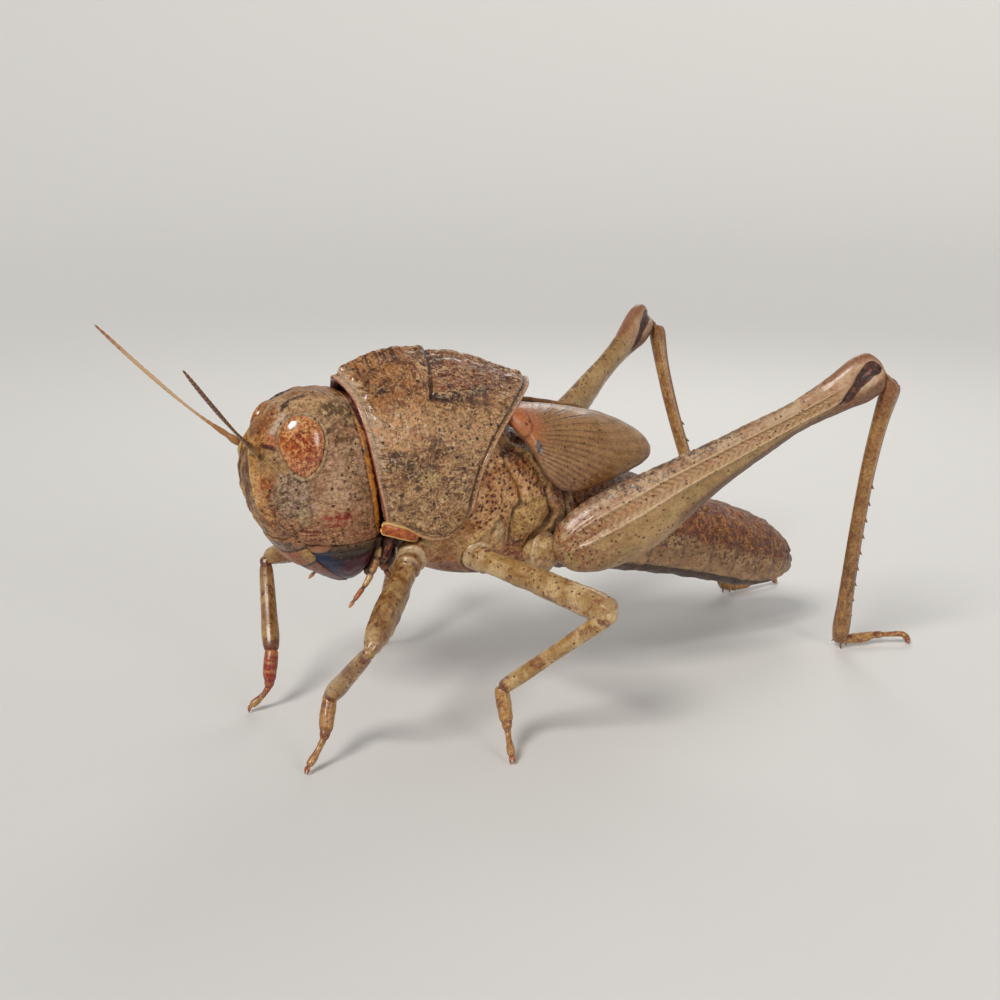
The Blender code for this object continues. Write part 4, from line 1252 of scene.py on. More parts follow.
def thigh_finish():
    """The hind thigh: pale ridges with chevrons between them, mottled above, cream below."""
    f = Finish("hind_thigh_cuticle", (0.78, 0.78, 0.7), roughness=0.36, coat=0.4, coat_roughness=0.16,
               skin=0.06)
    run, rise = f["run"], f["rise"]
    pale, chevron = f["pale"], f["chevron"]
    crescent = (f["crescent"] + (f.noise(2.4, 3) - 0.5) * 0.3).step(0.35, 0.6)
    band = f["band"]
    tone = f.noise(0.9, 4, 0.6)
    root = run.step(5, 1.2)
    knee = run.step(15.6, 17)
    f.colour = f.mix(tone.step(0.38, 0.62), (194, 160, 112), (214, 184, 142))
    f.paint(f.noise(0.5, 2).step(0.5, 0.6) * 0.35, (184, 164, 112))
    f.paint(rise.step(-0.5, -0.85) * run.step(5, 8) * 0.8, (128, 84, 40))
    # Above the ridges: pale, with sooty flecks that grow towards the top edge.
    above = band.step(0.9, 1.05)
    mottled = f.mix(f.noise(1.2, 3).step(0.4, 0.6), (222, 196, 170), (204, 164, 130))
    f.paint(above * 0.85, mottled)
    soot = (f.noise(4.2, 5, 0.75, at=(1, 0.8, 1)) + rise.step(0.6, 1) * 0.06).step(0.53, 0.6)
    flecked = run.step(2, 4.5) * run.step(13, 10) * 0.8 + 0.15
    f.paint(above * soot * flecked * 0.75, (104, 92, 82))
    between = band.step(0, 0.12) * band.step(1, 0.88) * (1 - knee * 0.8)
    f.paint(between * 0.7, (222, 194, 160))
    f.paint(between * chevron * 0.45, (164, 108, 70))
    flush = abs(band - 0.55).step(0.25, 0.05) * f.noise(1.6, 3).step(0.42, 0.56)
    f.paint(flush * between * 0.3, (214, 156, 118))
    f.paint(pale * 0.9, (236, 210, 184))
    # Root: orange-brown with dark dots. Knee: pinkish, with a dark crescent over a pale lobe.
    rust = f.noise(2.4, 5, 0.7).step(0.44, 0.56)
    f.paint(root * rust * 0.55, (176, 108, 56))
    f.paint(knee * 0.75, f.mix(tone.step(0.4, 0.6), (214, 176, 146), (226, 198, 174)))
    f.paint(knee * rise.step(0.7, 0.95) * 0.7, (164, 104, 58))
    lobe = knee * rise.step(-0.1, -0.5)
    f.paint(lobe * 0.8, (142, 96, 58))
    f.paint(crescent * 0.95, f.mix(f.noise(3, 4, 0.7).step(0.5, 0.64), (88, 28, 8), (150, 88, 48)))
    f.weather(0.45)
    dots = f.dots(3, 0.25, 0.1)
    f.paint(dots * (1 - knee * 0.75) * 0.85, (110, 54, 22))
    more = f.dots(3.6, 0.3, 0.1) * run.step(4.6, 2)
    f.paint(more * 0.85, (90, 40, 14))
    edge = rise.step(0.9, 0.985) * f.noise(3.2, 3, 0.6).step(0.44, 0.54) * (1 - knee)
    f.paint(edge * 0.4, (92, 66, 46))
    fine = f.noise(6, 4, 0.65)
    height = fine * 0.7 - dots * 0.4 - chevron * between * 0.6
    return f.done(0.26 + fine * 0.28 - pale * 0.08 + crescent * 0.3, height, 0.1, 0.6)


def leg_finish():
    """The small legs: cream-yellow with brown spots and rings at the joints; the fore legs are painted
    darker, as painted shade.
    """
    f = Finish("leg_cuticle", (0.8, 0.81, 0.76), roughness=0.34, coat=0.5, coat_roughness=0.16, skin=0.06)
    rise = f["rise"]
    joint, collar = f["joint"], f["collar"]
    tone = f.noise(0.8, 3, 0.6)
    f.colour = f.mix(tone.step(0.4, 0.62), (196, 160, 108), (230, 204, 164))
    brown = (f.noise(1.3, 5, 0.7, twist=0.5) + f.y.step(6, 4.5) * 0.04).step(0.54, 0.63)
    f.paint(brown * 0.65, (160, 102, 52))
    # The fore legs are painted darker than the mid legs, as painted shade.
    f.colour = f.tint(f.colour, f.y.step(7, 4) * 0.5, (0.68, 0.56, 0.42, 1))
    dark = f.noise(2.6, 5, 0.75).step(0.57, 0.66)
    f.paint(dark * 0.75, (120, 66, 28))
    f.paint(rise.step(-0.3, -0.9) * 0.4, (164, 112, 60))
    ragged = (joint + (f.noise(3, 4, 0.7) - 0.5) * 1.6).step(0.25, 0.6)
    f.paint(ragged * 0.75, (140, 70, 32))
    f.paint(collar * 0.8, (226, 202, 172))
    f.weather(0.45)
    dots = f.dots(2.6, 0.22, 0.25)
    f.paint(dots * 0.85, (108, 54, 22))
    fine = f.noise(5, 4, 0.65)
    return f.done(0.22 + fine * 0.24, fine - dots * 0.3, 0.09, 0.55)


def shin_finish():
    """The hind shin: orange-tan, finely grooved lengthwise, with dark-tipped spines."""
    f = Finish("hind_shin_cuticle", (0.8, 0.81, 0.7), roughness=0.34, coat=0.4, coat_roughness=0.16,
               skin=0.06)
    run, rise, tip = f["run"], f["rise"], f["tip"]
    tone = f.noise(0.9, 3, 0.6)
    f.colour = f.mix(tone.step(0.35, 0.65), (182, 138, 82), (204, 166, 112))
    ridge_line = abs(rise - 0.15).step(0.3, 0.06)
    f.paint(ridge_line * 0.6, (224, 184, 128))
    f.paint(rise.step(0.3, 0.7) * 0.45, (134, 76, 32))
    top = run.step(3.4, 0.8)
    f.paint(top * 0.7, (168, 118, 80))
    rust = f.noise(2.6, 4, 0.7).step(0.48, 0.6)
    f.paint(rust * 0.35, (158, 90, 42))
    lines = f.noise(3.4, 3, at=(1.6, 1.6, 0.1)).step(0.46, 0.54) * run.step(10, 14)
    f.paint(lines * 0.6, (116, 66, 30))
    f.paint(run.step(12, 16.5) * 0.35, (206, 158, 100))
    f.weather(0.7)
    f.paint(f.dots(3, 0.22, 0.35) * 0.6, (98, 52, 20))
    f.paint(tip.step(0.5, 0.95), (70, 34, 14))
    fine = f.noise(6, 4, 0.65)
    return f.done(0.24 + fine * 0.26, fine * 0.5 - lines, 0.08, 0.55)


def foot_finish():
    f = Finish("foot_cuticle", (0.86, 0.88, 0.88), roughness=0.36, coat=0.4, skin=0.06)
    joint, claw = f["joint"], f["tip"]
    tone = f.noise(1.6, 4, 0.65)
    f.colour = f.mix(tone.step(0.46, 0.64), (204, 164, 108), (164, 100, 50))
    red = f.x.step(0, -0.4) * f.y.step(0.5, 0)
    rings = f.noise(1, 2, at=(0.4, 0.4, 3.4)).step(0.44, 0.52)
    red = red * f.z.step(0.9, 1.3)
    f.paint(red * 0.5, (206, 120, 70))
    f.paint(red * rings * f.z.step(1, 1.4) * 0.85, (178, 60, 28))
    f.paint(joint * 0.5, (140, 66, 30))
    f.paint(claw * 0.7, (190, 104, 56))
    f.weather(0.8)
    f.paint(f.dots(4, 0.26, 0.35) * 0.6, (84, 40, 18))
    return f.done(None, f.noise(7, 3), 0.07, 0.5)


# Head


def head_rows(z):
    """Front, rear and half width of the head at heights."""
    table = [(math.acos(1 - 2 * share), *rest) for share, *rest in HEAD_SECTIONS]
    front, rear, width = along(table, head_down(z))
    return front, rear, HEAD_HALF_WIDTH * width


def head_down(z):
    """The way down from the crown at a height, from 0 to pi."""
    return numpy.arccos(numpy.clip(1 - 2 * (HEAD_TOP - numpy.asarray(z, float)) / HEAD_HEIGHT, -1, 1))


def head_shape(z, c, s):
    """The head's surface at a height, where c is 1 at the face to -1 behind, and s is 1 at its left."""
    front, rear, width = head_rows(z)
    blunt = 1 - 0.3 * ease(-c, 0, 0.6)
    x = width * numpy.sign(s) * numpy.abs(s) ** blunt * (1 - FACE_NARROWING * c)
    return x, (front + rear) / 2 - (rear - front) / 2 * c


def lip_turn(z):
    """The turn from the face at which the lip's rear edge lies at a height."""
    front, rear, _ = head_rows(z)
    edge = along(LIP_REAR_EDGE, z)[0]
    return numpy.arccos(numpy.clip(((front + rear) / 2 - edge) / ((rear - front) / 2), -1, 1))


def eye_distance(at):
    """How far points lie from an eye's middle, as shares of its radii."""
    turn = numpy.identity(3)
    for axis, angle in EYE_TURNS:
        turn = numpy.array(Matrix.Rotation(math.radians(angle), 3, axis)) @ turn
    beside = numpy.stack((numpy.abs(at[:, 0]), at[:, 1], at[:, 2]), axis=1)
    off = (beside - EYE_MIDDLE) @ turn
    wide = EYE_RADII[1] * (1 + EYE_NARROWING * numpy.clip(off[:, 2] / EYE_RADII[2], -1.2, 1.2))
    return numpy.sqrt((off[:, 0] / 1.5) ** 2 + (off[:, 1] / wide) ** 2 + (off[:, 2] / EYE_RADII[2]) ** 2)


def make_head():
    shares = numpy.array((0.002, 0.02, 0.06, 0.11, 0.17, 0.24, 0.32, 0.4, 0.48, 0.56, 0.64, 0.71, 0.77,
                          0.83, 0.88, 0.925, 0.96, 0.985, 0.998))
    heights = HEAD_TOP - HEAD_HEIGHT * shares
    front, rear, width = head_rows(heights)
    turn = Matrix(((1, 0, 0), (0, -1, 0), (0, 0, -1))).transposed()
    rings = [
        ((0, (a + b) / 2, z), turn, (max(c, 0.05), max((b - a) / 2, 0.05)))
        for z, a, b, c in zip(heights, front, rear, width)
    ]
    piece = drawn("head_capsule", rings, 28, 3)
    # The face is narrower than the back of the head, and the foot draws in behind the jaws.
    at = points(piece)
    z = at[:, 2]
    front, rear, width = head_rows(z)
    c = ((front + rear) / 2 - at[:, 1]) / numpy.maximum((rear - front) / 2, 0.05)
    s = at[:, 0] / numpy.maximum(width, 0.05)
    size = numpy.maximum(numpy.hypot(c, s), 1e-6)
    blend = ease(width, 0.3, 1.2)
    blunt = 1 - 0.3 * ease(-c, 0, 0.6)
    x = numpy.sign(s) * width * size * numpy.abs(s / size) ** blunt * (1 - FACE_NARROWING * c)
    x = at[:, 0] + (x - at[:, 0]) * blend
    inwards = 1 - 0.13 * ease(z, CHEEK_FOOT + 0.1, CHEEK_FOOT - 0.12)
    set_points(piece, numpy.stack((x * inwards, (at[:, 1] - 1) * inwards + 1, z), axis=1))
    at, side, y, z = spread(piece)
    front = ease(y, 0, -1.2)
    # Two ridges down the face, and one below each eye.
    keel = way_to_line(side, z, ((0.45, 15.8), (0.62, 14.7), (0.88, 13.7), (0.93, 12.5), (1.05, 11.4)))
    amount = 0.11 * ridge(keel, 0.13) * front * ease(z, 10.8, 11.4) * ease(z, 15.9, 15)
    amount -= 0.06 * ridge(side, 0.3) * front * ease(z, 10.9, 11.8) * ease(z, 15.6, 14.8)
    amount += 0.11 * seam(side, z, ((1.5, 14.1), (1.55, 12.8), (1.75, 11.4), (2.1, 10.8)), 0.14) * front
    # The brow: a raised edge round a shallow hollow between the eyes.
    brow = way_to_line(side, y, ((0.35, -2.1), (0.75, -1.5), (1, -0.7), (0.9, 0.2)))
    amount += 0.1 * ridge(brow, 0.15) * ease(z, 15.6, 16.2)
    amount -= 0.05 * ridge(side, 0.45) * ridge(y + 1.2, 0.7) * ease(z, 15.8, 16.3)
    # Antenna sockets.
    off = numpy.sqrt((side - 1.15) ** 2 + (y + 2.75) ** 2 + (z - 14.72) ** 2)
    amount += 0.09 * ridge(off - 0.5, 0.12) - 0.2 * ridge(off, 0.36)
    # Eye sockets, with a smooth rim.
    eye = eye_distance(at)
    outer = ease(side, 1.2, 1.6)
    amount += 0.08 * ridge(eye - 1.08, 0.05) * outer - 0.04 * ridge(eye - 1.18, 0.06) * outer
    amount -= 0.30 * ease(eye, 1, 0.88) * outer
    # Sutures: below the eye, over the lip, along the foot of the cheek.
    cheek = ease(side, 1.5, 1.9)
    amount -= 0.06 * seam(y, z, ((-1, 13.6), (-1.35, 12.6), (-1.15, 11.1)), 0.07) * cheek
    amount += 0.05 * seam(y, z, ((-0.8, 13.6), (-1.1, 12.6), (-0.95, 11.1)), 0.1) * cheek
    amount -= 0.1 * seam(side, z, ((0, 10.28), (1.3, 10.3), (2.1, 10.7), (2.45, 11)), 0.09) * front
    amount += 0.08 * ridge(z - 10.55, 0.2) * ease(y, -1, 0) * cheek
    amount -= 0.06 * ridge(z - 10.9, 0.1) * ease(y, -1, 0) * cheek
    amount += 0.06 * seam(y, z, ((1.75, 15.6), (1.9, 14.7), (2.15, 13.2), (2.5, 11.6)), 0.1)
    behind = ease(y, -0.4, 0.4) * ease(z, 11.8, 12.8) * cheek
    amount += behind * 0.07 * lumps(at, (0.8, 0.9, 0.24), 21)
    amount += 0.06 * lumps(at, 0.7, 1) + 0.035 * lumps(at, 0.28, 2)
    push(piece, amount)
    note(piece, "eye", numpy.where(side > 1.2, eye, 3))
    settle(piece, head_finish(), "head", "head")


def head_patch(name, top, foot, first, last, columns, rows, lift, thickness, rounding):
    """A plate on the foot of the head, between two heights and two turns that change with the height."""
    piece = start_sheet(name, columns, rows)
    at = points(piece)
    z = foot + (top - foot) * (at[:, 1] + 1) / 2
    share = (at[:, 0] + 1) / 2
    turn = first(z) + (last(z) - first(z)) * share
    x, y = head_shape(z, numpy.cos(turn), numpy.sin(turn))
    set_points(piece, numpy.stack((x, y, z), axis=1))
    tidy(piece)
    outwards = points(piece) - numpy.array((0, 1, 11))
    if (directions(piece) * outwards).sum() < 0:
        piece.data.flip_normals()
    push(piece, numpy.full(len(piece.data.vertices), lift))
    thicken(piece, thickness, rounding)
    return piece


def make_mouth():
    foot = HEAD_TOP - HEAD_HEIGHT + 0.12
    lip = head_patch("upper_lip_plate", 10.32, foot, lambda z: -lip_turn(z), lip_turn,
                     70, 44, 0.03, 0.3, 0.09)
    at, side, _, z = spread(lip)
    upper, lower = 9.5 + 0.12 * side**2, 8.62 + 0.17 * side**2
    amount = -0.1 * ridge(z - upper, 0.06) - 0.09 * ridge(z - lower, 0.06)
    amount += 0.05 * ridge(z - (upper + lower) / 2, 0.3) - 0.06 * ease(z, lower, lower - 0.15)
    amount -= 0.08 * ridge(side, 0.1) * ease(z, 8.8, 8.5)
    push(lip, amount + 0.03 * lumps(at, 0.4, 3) + 0.015 * lumps(at, 0.2, 22))
    settle(lip, lip_finish(), "lip", "upper_lip")
    left = head_patch("jaw_left", CHEEK_FOOT - 0.02, foot, lambda z: lip_turn(z) - 0.06, lambda z: 2.7,
                      44, 34, -0.05, 0.8, 0.12)
    at, _, y, z = spread(left)
    amount = 0.08 * ridge(y - 1.6, 0.8) * ease(z, 7.6, 8.8) - 0.06 * ridge(z - 9.55, 0.12)
    push(left, amount + 0.035 * lumps(at, 0.45, 4) + 0.015 * lumps(at, 0.2, 23))
    settle_pair(left, jaw_finish(), "jaw", "mandible")


def make_eyes():
    take_none()
    bpy.ops.mesh.primitive_uv_sphere_add(segments=64, ring_count=40, radius=1, location=EYE_MIDDLE)
    left = newest("eye_ball_left")
    start_editing()
    bpy.ops.transform.resize(value=tuple(EYE_RADII), center_override=EYE_MIDDLE)
    stop_editing()
    bpy.ops.object.transform_apply(location=True, rotation=True, scale=True)
    # The eye is egg-shaped, narrower below, and its inner half reaches deep into the head.
    off = points(left) - EYE_MIDDLE
    deep = numpy.where(off[:, 0] < 0, EYE_DEPTH, 1)
    wide = 1 + EYE_NARROWING * off[:, 2] / EYE_RADII[2]
    set_points(left, EYE_MIDDLE + off * numpy.stack((deep, wide, numpy.ones(len(off))), axis=1))
    take(left)
    start_editing()
    for axis, angle in EYE_TURNS:
        bpy.ops.transform.rotate(value=-math.radians(angle), orient_axis=axis, center_override=EYE_MIDDLE)
    stop_editing()
    bpy.ops.object.shade_smooth()
    settle_pair(left, eye_finish(), "eye", "eye")


def ringed(piece, step, first, depth, width, last=1e9):
    """Pinches a limb at even steps and keeps where the joints are."""
    run = noted(piece, "run")
    phase = numpy.abs((run - first + step / 2) % step - step / 2)
    joint = ridge(phase, width) * (run > first - step / 2) * (run < last)
    push(piece, -depth * joint)
    note(piece, "joint", joint)


def even(*stops):
    """A round profile: share of the length, radius."""
    return [(share, radius, radius, radius) for share, radius in stops]


def make_antennae():
    finish = antenna_finish()
    for side, sign in (("left", 1), ("right", -1)):
        root = numpy.array((sign * ANTENNA_ROOT[0], ANTENNA_ROOT[1], ANTENNA_ROOT[2]))
        tip = numpy.array(ANTENNA_TIPS[side])
        bend = numpy.array((0, 0, -0.18 if side == "left" else -0.3))
        stops = (root, root * 0.67 + tip * 0.33 + bend, root * 0.33 + tip * 0.67 + bend * 0.8, tip)
        profile = even((0, 0.18), (0.06, 0.2), (0.09, 0.13), (0.12, 0.15), (0.16, 0.12), (0.6, 0.105),
                       (0.9, 0.085), (1, 0.05))
        piece = limb(f"antenna_{side}_ringed", stops, profile, sides=8, rings=60, levels=1, ends=(0.2, 0.3))
        ringed(piece, 0.34, 1.7, 0.015, 0.06)
        settle(piece, finish, "feeler", "antenna_" + side)


def make_palps():
    finish = palp_finish()
    routes = {
        "maxillary_palp": ((2.1, 3, 9.55), (2.3, 2.35, 8.25), (2.62, 1, 6.85)),
        "labial_palp": ((1.3, 3.3, 8.6), (1.5, 3.6, 7.95), (1.7, 3.95, 7.3)),
    }
    profile = even((0, 0.17), (0.2, 0.2), (0.45, 0.17), (0.7, 0.13), (0.93, 0.1), (1, 0.06))
    for name, stops in routes.items():
        for side, sign in (("left", 1), ("right", -1)):
            route = [numpy.array((sign * a, b, c)) for a, b, c in stops]
            piece = limb(f"{name}_{side}_ringed", route, profile, FORWARD, sides=10, rings=24, levels=1,
                         ends=(0.25, 0.15))
            ringed(piece, 0.8, 0.6, 0.05, 0.09)
            settle(piece, finish, "feeler", f"{name}_{side}")
    # The lower jaws and the lower lip between the palps.
    lobes = []
    for sign in (1, -1):
        for stops, width in (
            (((1.6, 3.2, 10.2), (1.6, 3, 9), (1.35, 2.5, 7.95)), 0.42),
            (((0.5, 3.6, 10), (0.5, 3.4, 8.8), (0.5, 2.9, 7.9)), 0.55),
            (((2.35, 3.45, 10.3), (2.3, 3.2, 9.3), (2.2, 2.9, 8.6)), 0.26),
            (((1.25, 3.9, 9.4), (1.3, 3.85, 8.6), (1.3, 3.5, 8)), 0.28),
        ):
            profile = ((0, width, width, width), (0.5, width, width, width),
                       (1, width * 0.6, width * 0.6, width * 0.6))
            route = [(sign * a, b, c) for a, b, c in stops]
            lobes.append(limb("lobe", route, profile, FORWARD, sides=12, rings=4, ends=(0.4, 0.4)))
    settle(joined("lower_lip_lobes", lobes), mouth_finish(), "feeler")


# Neck shield, thorax, abdomen and wing pads


def make_shield():
    """The shield's swelling and slanting edges are given point by point on a sheet, then it gets its wall."""
    piece = start_sheet("neck_shield", 120, 184)
    at = points(piece)
    share, across = (at[:, 0] + 1) / 2, at[:, 1]
    height, width, front, rear = along(SHIELD_ACROSS, numpy.abs(across))
    keel, margin = along(SHIELD_KEEL, share)[0], along(SHIELD_MARGIN, share)[0]
    half_width = SHIELD_HALF_WIDTH * (0.9 + 0.1 * numpy.clip(share / 0.6, 0, 1))
    length = rear - front
    from_front = share * length
    edge = numpy.minimum(numpy.minimum(from_front, (1 - share) * length), (1 - numpy.abs(across)) * 9.4)
    # The front edge curls in towards the head.
    curl = 1 - 0.07 * (1 - ease(from_front, 0, 0.7)) * ease(1 - numpy.abs(across), 0, 0.3)
    y = front + length * share
    z = margin + (keel - margin) * height
    x = half_width * width * numpy.sign(across) * curl
    z = 13 + (z - 13) * (1 - (1 - curl) * 0.5)
    set_points(piece, numpy.stack((x, y, z), axis=1))
    note(piece, "edge", edge)
    tidy(piece)
    if directions(piece)[:, 2].sum() < 0:
        piece.data.flip_normals()
    at, side, y, z = spread(piece)
    edge = noted(piece, "edge")
    inside = ease(edge, 0.3, 0.6)
    amount = 0.08 * ridge(side, 0.14) * inside
    main = way_to_line(y, z, ((6.75, 19), (6.15, 17.7), (5.82, 16.75)))
    amount -= 0.14 * ridge(main, 0.14)
    amount -= 0.06 * seam(y, z, ((4.5, 17.6), (4.4, 16.2), (4.55, 14.6), (4.4, 13.4)), 0.12)
    amount -= 0.06 * seam(y, z, ((5.8, 16.7), (5.7, 15), (5.5, 13.2)), 0.14)
    amount -= 0.07 * seam(y, z, ((5.82, 16.75), (9.7, 15.98)), 0.12)
    amount += 0.06 * ease(z + (y - 6) * 0.18, 16.75, 16.95) * ease(y, 5.9, 6.2) * inside
    rough = ease(y, 5.7, 6.6)
    amount += inside * (1 - rough) * (0.05 * lumps(at, 0.42, 5) + 0.05 * lumps(at, 0.2, 6))
    long_lumps = 0.045 * lumps(at, (0.28, 0.8, 0.28), 7) + 0.05 * lumps(at, (0.17, 0.4, 0.17), 8)
    amount += inside * rough * long_lumps
    bead = 1 - 0.6 * ease(z, 11.2, 10.4)
    amount += bead * (0.06 * ridge(edge - 0.1, 0.08) - 0.07 * ridge(edge - 0.3, 0.08))
    push(piece, amount)
    thicken(piece, 0.3, 0.09)
    settle(piece, shield_finish(), "neck_shield", "pronotum")


def make_neck_plates():
    """The small orange plates under the shield's front corners."""
    profile = ((0, 0.24, 0.36, 0.34), (0.3, 0.26, 0.36, 0.34), (0.7, 0.26, 0.32, 0.3),
               (1, 0.16, 0.16, 0.16))
    plate = limb("neck_plate_left", ((2.85, 2.75, 10.72), (3, 3.6, 10.42), (2.95, 4.6, 9.95)), profile,
                 sides=16, ends=(0.12, 0.25))
    edges = ridge(numpy.abs(noted(plate, "rise")) - 0.8, 0.1)
    push(plate, 0.05 * edges + 0.02 * lumps(points(plate), 0.3, 24))
    settle_pair(plate, plate_finish(), "thorax")


def trunk(name, table, places, sides, levels, power):
    """A trunk drawn out along the body, with sections a little fuller than ovals."""
    top, foot, half_width = along(table, places)
    turn = Matrix(((1, 0, 0), (0, 0, -1), (0, 1, 0))).transposed()
    rings = [
        ((0, y, (a + b) / 2), turn, (c, (a - b) / 2))
        for y, a, b, c in zip(places, top, foot, half_width)
    ]
    piece = drawn(name, rings, sides, levels)
    at = points(piece)
    top, foot, half_width = along(table, at[:, 1])
    middle = (top + foot) / 2
    across = at[:, 0] / half_width
    level = (at[:, 2] - middle) / ((top - foot) / 2)
    size = numpy.maximum(numpy.hypot(across, level), 1e-6)
    across, level = across / size, level / size
    fuller = (numpy.abs(across) ** power + numpy.abs(level) ** power) ** (-1 / power)
    height = middle + (at[:, 2] - middle) * fuller
    set_points(piece, numpy.stack((at[:, 0] * fuller, at[:, 1], height), axis=1))
    note(piece, "level", level)
    return piece


def make_thorax():
    places = numpy.array((3.78, 4, 4.6, 5.4, 6.2, 7, 7.8, 8.6, 9.4, 10.2, 11, 11.8, 12.6, 13.3, 13.9,
                          14.15))
    piece = trunk("thorax_skin", THORAX_SECTIONS, places, 32, 3, 2.3)
    at, side, y, z = spread(piece)
    flank = ease(side, 0.8, 1.8)
    amount = numpy.zeros(len(at))
    groove = numpy.zeros(len(at))
    rim = numpy.zeros(len(at))
    wander = 0.08 * lumps(at, 0.8, 9)
    for line, width, depth in GROOVES:
        cut = ridge(way_to_line(y, z, line) + wander, width) * flank
        amount -= depth * cut
        groove = numpy.maximum(groove, cut * ease(numpy.full(len(at), depth), 0.08, 0.2))
    for line, width, depth in RIDGES:
        raised = ridge(way_to_line(y, z, line) + wander, width) * flank
        amount += depth * raised
        rim = numpy.maximum(rim, raised)
    for (a, b), (c, d), depth in SWELLINGS:
        amount += depth * numpy.exp(-(((y - a) / c) ** 2) - ((z - b) / d) ** 2) * flank
    amount += flank * (0.11 * lumps(at, 0.62, 10) + 0.08 * lumps(at, 0.3, 11))
    push(piece, amount)
    # The grooves are kept, stronger where they cut deeper, for the painted shade in them.
    note(piece, "groove", groove)
    note(piece, "rim", rim * (1 - groove))
    settle(piece, thorax_finish(), "thorax", "thorax")


def make_abdomen():
    places = numpy.concatenate(
        (numpy.linspace(12.6, 28.8, 15), numpy.array((29.5, 30, 30.4, 30.65, 30.82, 30.92)))
    )
    piece = trunk("abdomen_skin", ABDOMEN_SECTIONS, places, 24, 3, 2.2)
    at, _, y, z = spread(piece)
    level = noted(piece, "level")
    joint = numpy.zeros(len(at))
    amount = numpy.zeros(len(at))
    for place in ABDOMEN_JOINTS:
        bent = y + 0.25 * numpy.abs(level)
        cut = ridge(bent - place, 0.07)
        joint = numpy.maximum(joint, cut)
        # Each ring ends in a low step over the next.
        amount += 0.05 * ease(bent, place - 1, place - 0.12) * ease(bent, place + 0.02, place - 0.1)
    shaded_fold = ridge(level + 0.75, 0.05) * ease(y, 14, 15.5)
    amount -= 0.14 * shaded_fold + 0.03 * joint
    amount -= 0.05 * ease(level, -0.77, -0.85) * ease(y, 14, 16)
    amount += 0.06 * lumps(at, 0.5, 12) + 0.06 * lumps(at, 0.24, 13) * ease(level, -0.5, 0.1)
    amount += 0.06 * ridge(level - 1, 0.03)
    amount -= 0.1 * seam(y, z, ((29, 5.35), (30.1, 4.95), (30.9, 4.5)), 0.1)
    amount -= 0.07 * seam(y, z, ((29.5, 4.4), (30.3, 4.2), (30.9, 4)), 0.09)
    amount *= ease(y, 30.92, 30.6)
    push(piece, amount)
    note(piece, "joint", joint * ease(level, -0.8, -0.6))
    note(piece, "shaded_fold", shaded_fold)
    settle(piece, abdomen_finish(), "abdomen", "abdomen_front", "abdomen_middle", "abdomen_rear",
           "abdomen_tip")


def make_pads():
    """A wing pad's outline and its roof are given point by point on a sheet, then it gets its wall."""
    left = start_sheet("wing_pad_left_plate", 120, 84)
    at = points(left)
    share, across = (at[:, 0] + 1) / 2, (at[:, 1] + 1) / 2
    start, end = PAD_SECTIONS[0][0], PAD_SECTIONS[-1][0]
    y = start + (end - start) * (0.7 * share + 0.3 * (0.5 - 0.5 * numpy.cos(math.pi * share)))
    top, inner, foot, outer = along(PAD_SECTIONS, y)
    turn = across * math.pi / 2
    x = inner + (outer - inner) * numpy.sin(turn)
    z = top + (foot - top) * (1 - numpy.cos(turn))
    set_points(left, numpy.stack((x, y, z), axis=1))
    tidy(left)
    if (directions(left)[:, 0]).sum() < 0:
        left.data.flip_normals()
    push(left, numpy.full(len(left.data.vertices), 0.08))
    at, _, y, z = spread(left)
    # Ribs fan out from the hinge, and sweep back along the upper edge.
    hinge = numpy.array((8.9, 14.9))
    far = numpy.hypot(y - hinge[0], z - hinge[1])
    angle = numpy.arctan2(z - hinge[1], y - hinge[0])
    fan = (angle + 1.7) * 17 + 0.2 * numpy.sin(far * 1.1)
    rib = ridge(numpy.abs(fan % 1 - 0.5) * 2 - 1, 0.5) * ease(far, 2.2, 3.2)
    push(left, 0.01 * rib + 0.03 * lumps(at, 0.9, 14))
    low = along(PAD_SECTIONS, y)[2]
    note(left, "fan", fan)
    note(left, "far", far)
    note(left, "edge", numpy.minimum(z - low, 18.8 - y))
    thicken(left, 0.2, 0.06)
    settle_pair(left, pad_finish(), "wing_pad", "wing_pad")


# Legs


def make_spine(length, radius):
    """A curved spine on the origin, pointing up, with a dark tip."""
    profile = even((0, radius), (0.5, radius * 0.62), (1, 0.02))
    stops = ((0, 0, -0.08), (0, 0.02, length * 0.5), (0, 0.12 * length, length))
    spine = limb("spine", stops, profile, FORWARD, sides=6, rings=2, levels=1, ends=(0.04, 0.04))
    note(spine, "tip", ease(noted(spine, "run") / (length + 0.08), 0.5, 0.9))
    return spine


def placed(spine, at, towards, backwards):
    """A copy of a spine that stands at a point, pointing one way and leaning another."""
    up = Vector(towards).normalized()
    lean = Vector(backwards)
    lean = (lean - up * lean.dot(up)).normalized()
    side = lean.cross(up)
    turn = Matrix((side, lean, up)).transposed().to_4x4()
    return copy_of(spine, "spine_copy", Matrix.Translation(Vector(at)) @ turn)


def claws(tip, forwards):
    """A pair of small claws that curve down from the end of a foot."""
    made = []
    forwards = unit(forwards)
    side = unit(numpy.cross(forwards, UP))
    profile = even((0, 0.09), (0.5, 0.065), (1, 0.02))
    for way in (1, -1):
        root = tip - forwards * 0.3 + side * way * 0.04 + UP * 0.08
        middle = root + forwards * 0.18 + side * way * 0.06 + UP * 0.02
        end = tip + side * way * 0.08 - forwards * 0.03
        end[2] = 0.03
        claw = limb("claw", (root, middle, end), profile, side, sides=6, rings=3, levels=1,
                    ends=(0.1, 0.05))
        note(claw, "tip", numpy.ones(len(claw.data.vertices)))
        made.append(claw)
    return made


def lay_on_floor(piece):
    """Nothing reaches below the floor."""
    at = points(piece)
    at[:, 2] = numpy.maximum(at[:, 2], 0)
    set_points(piece, at)


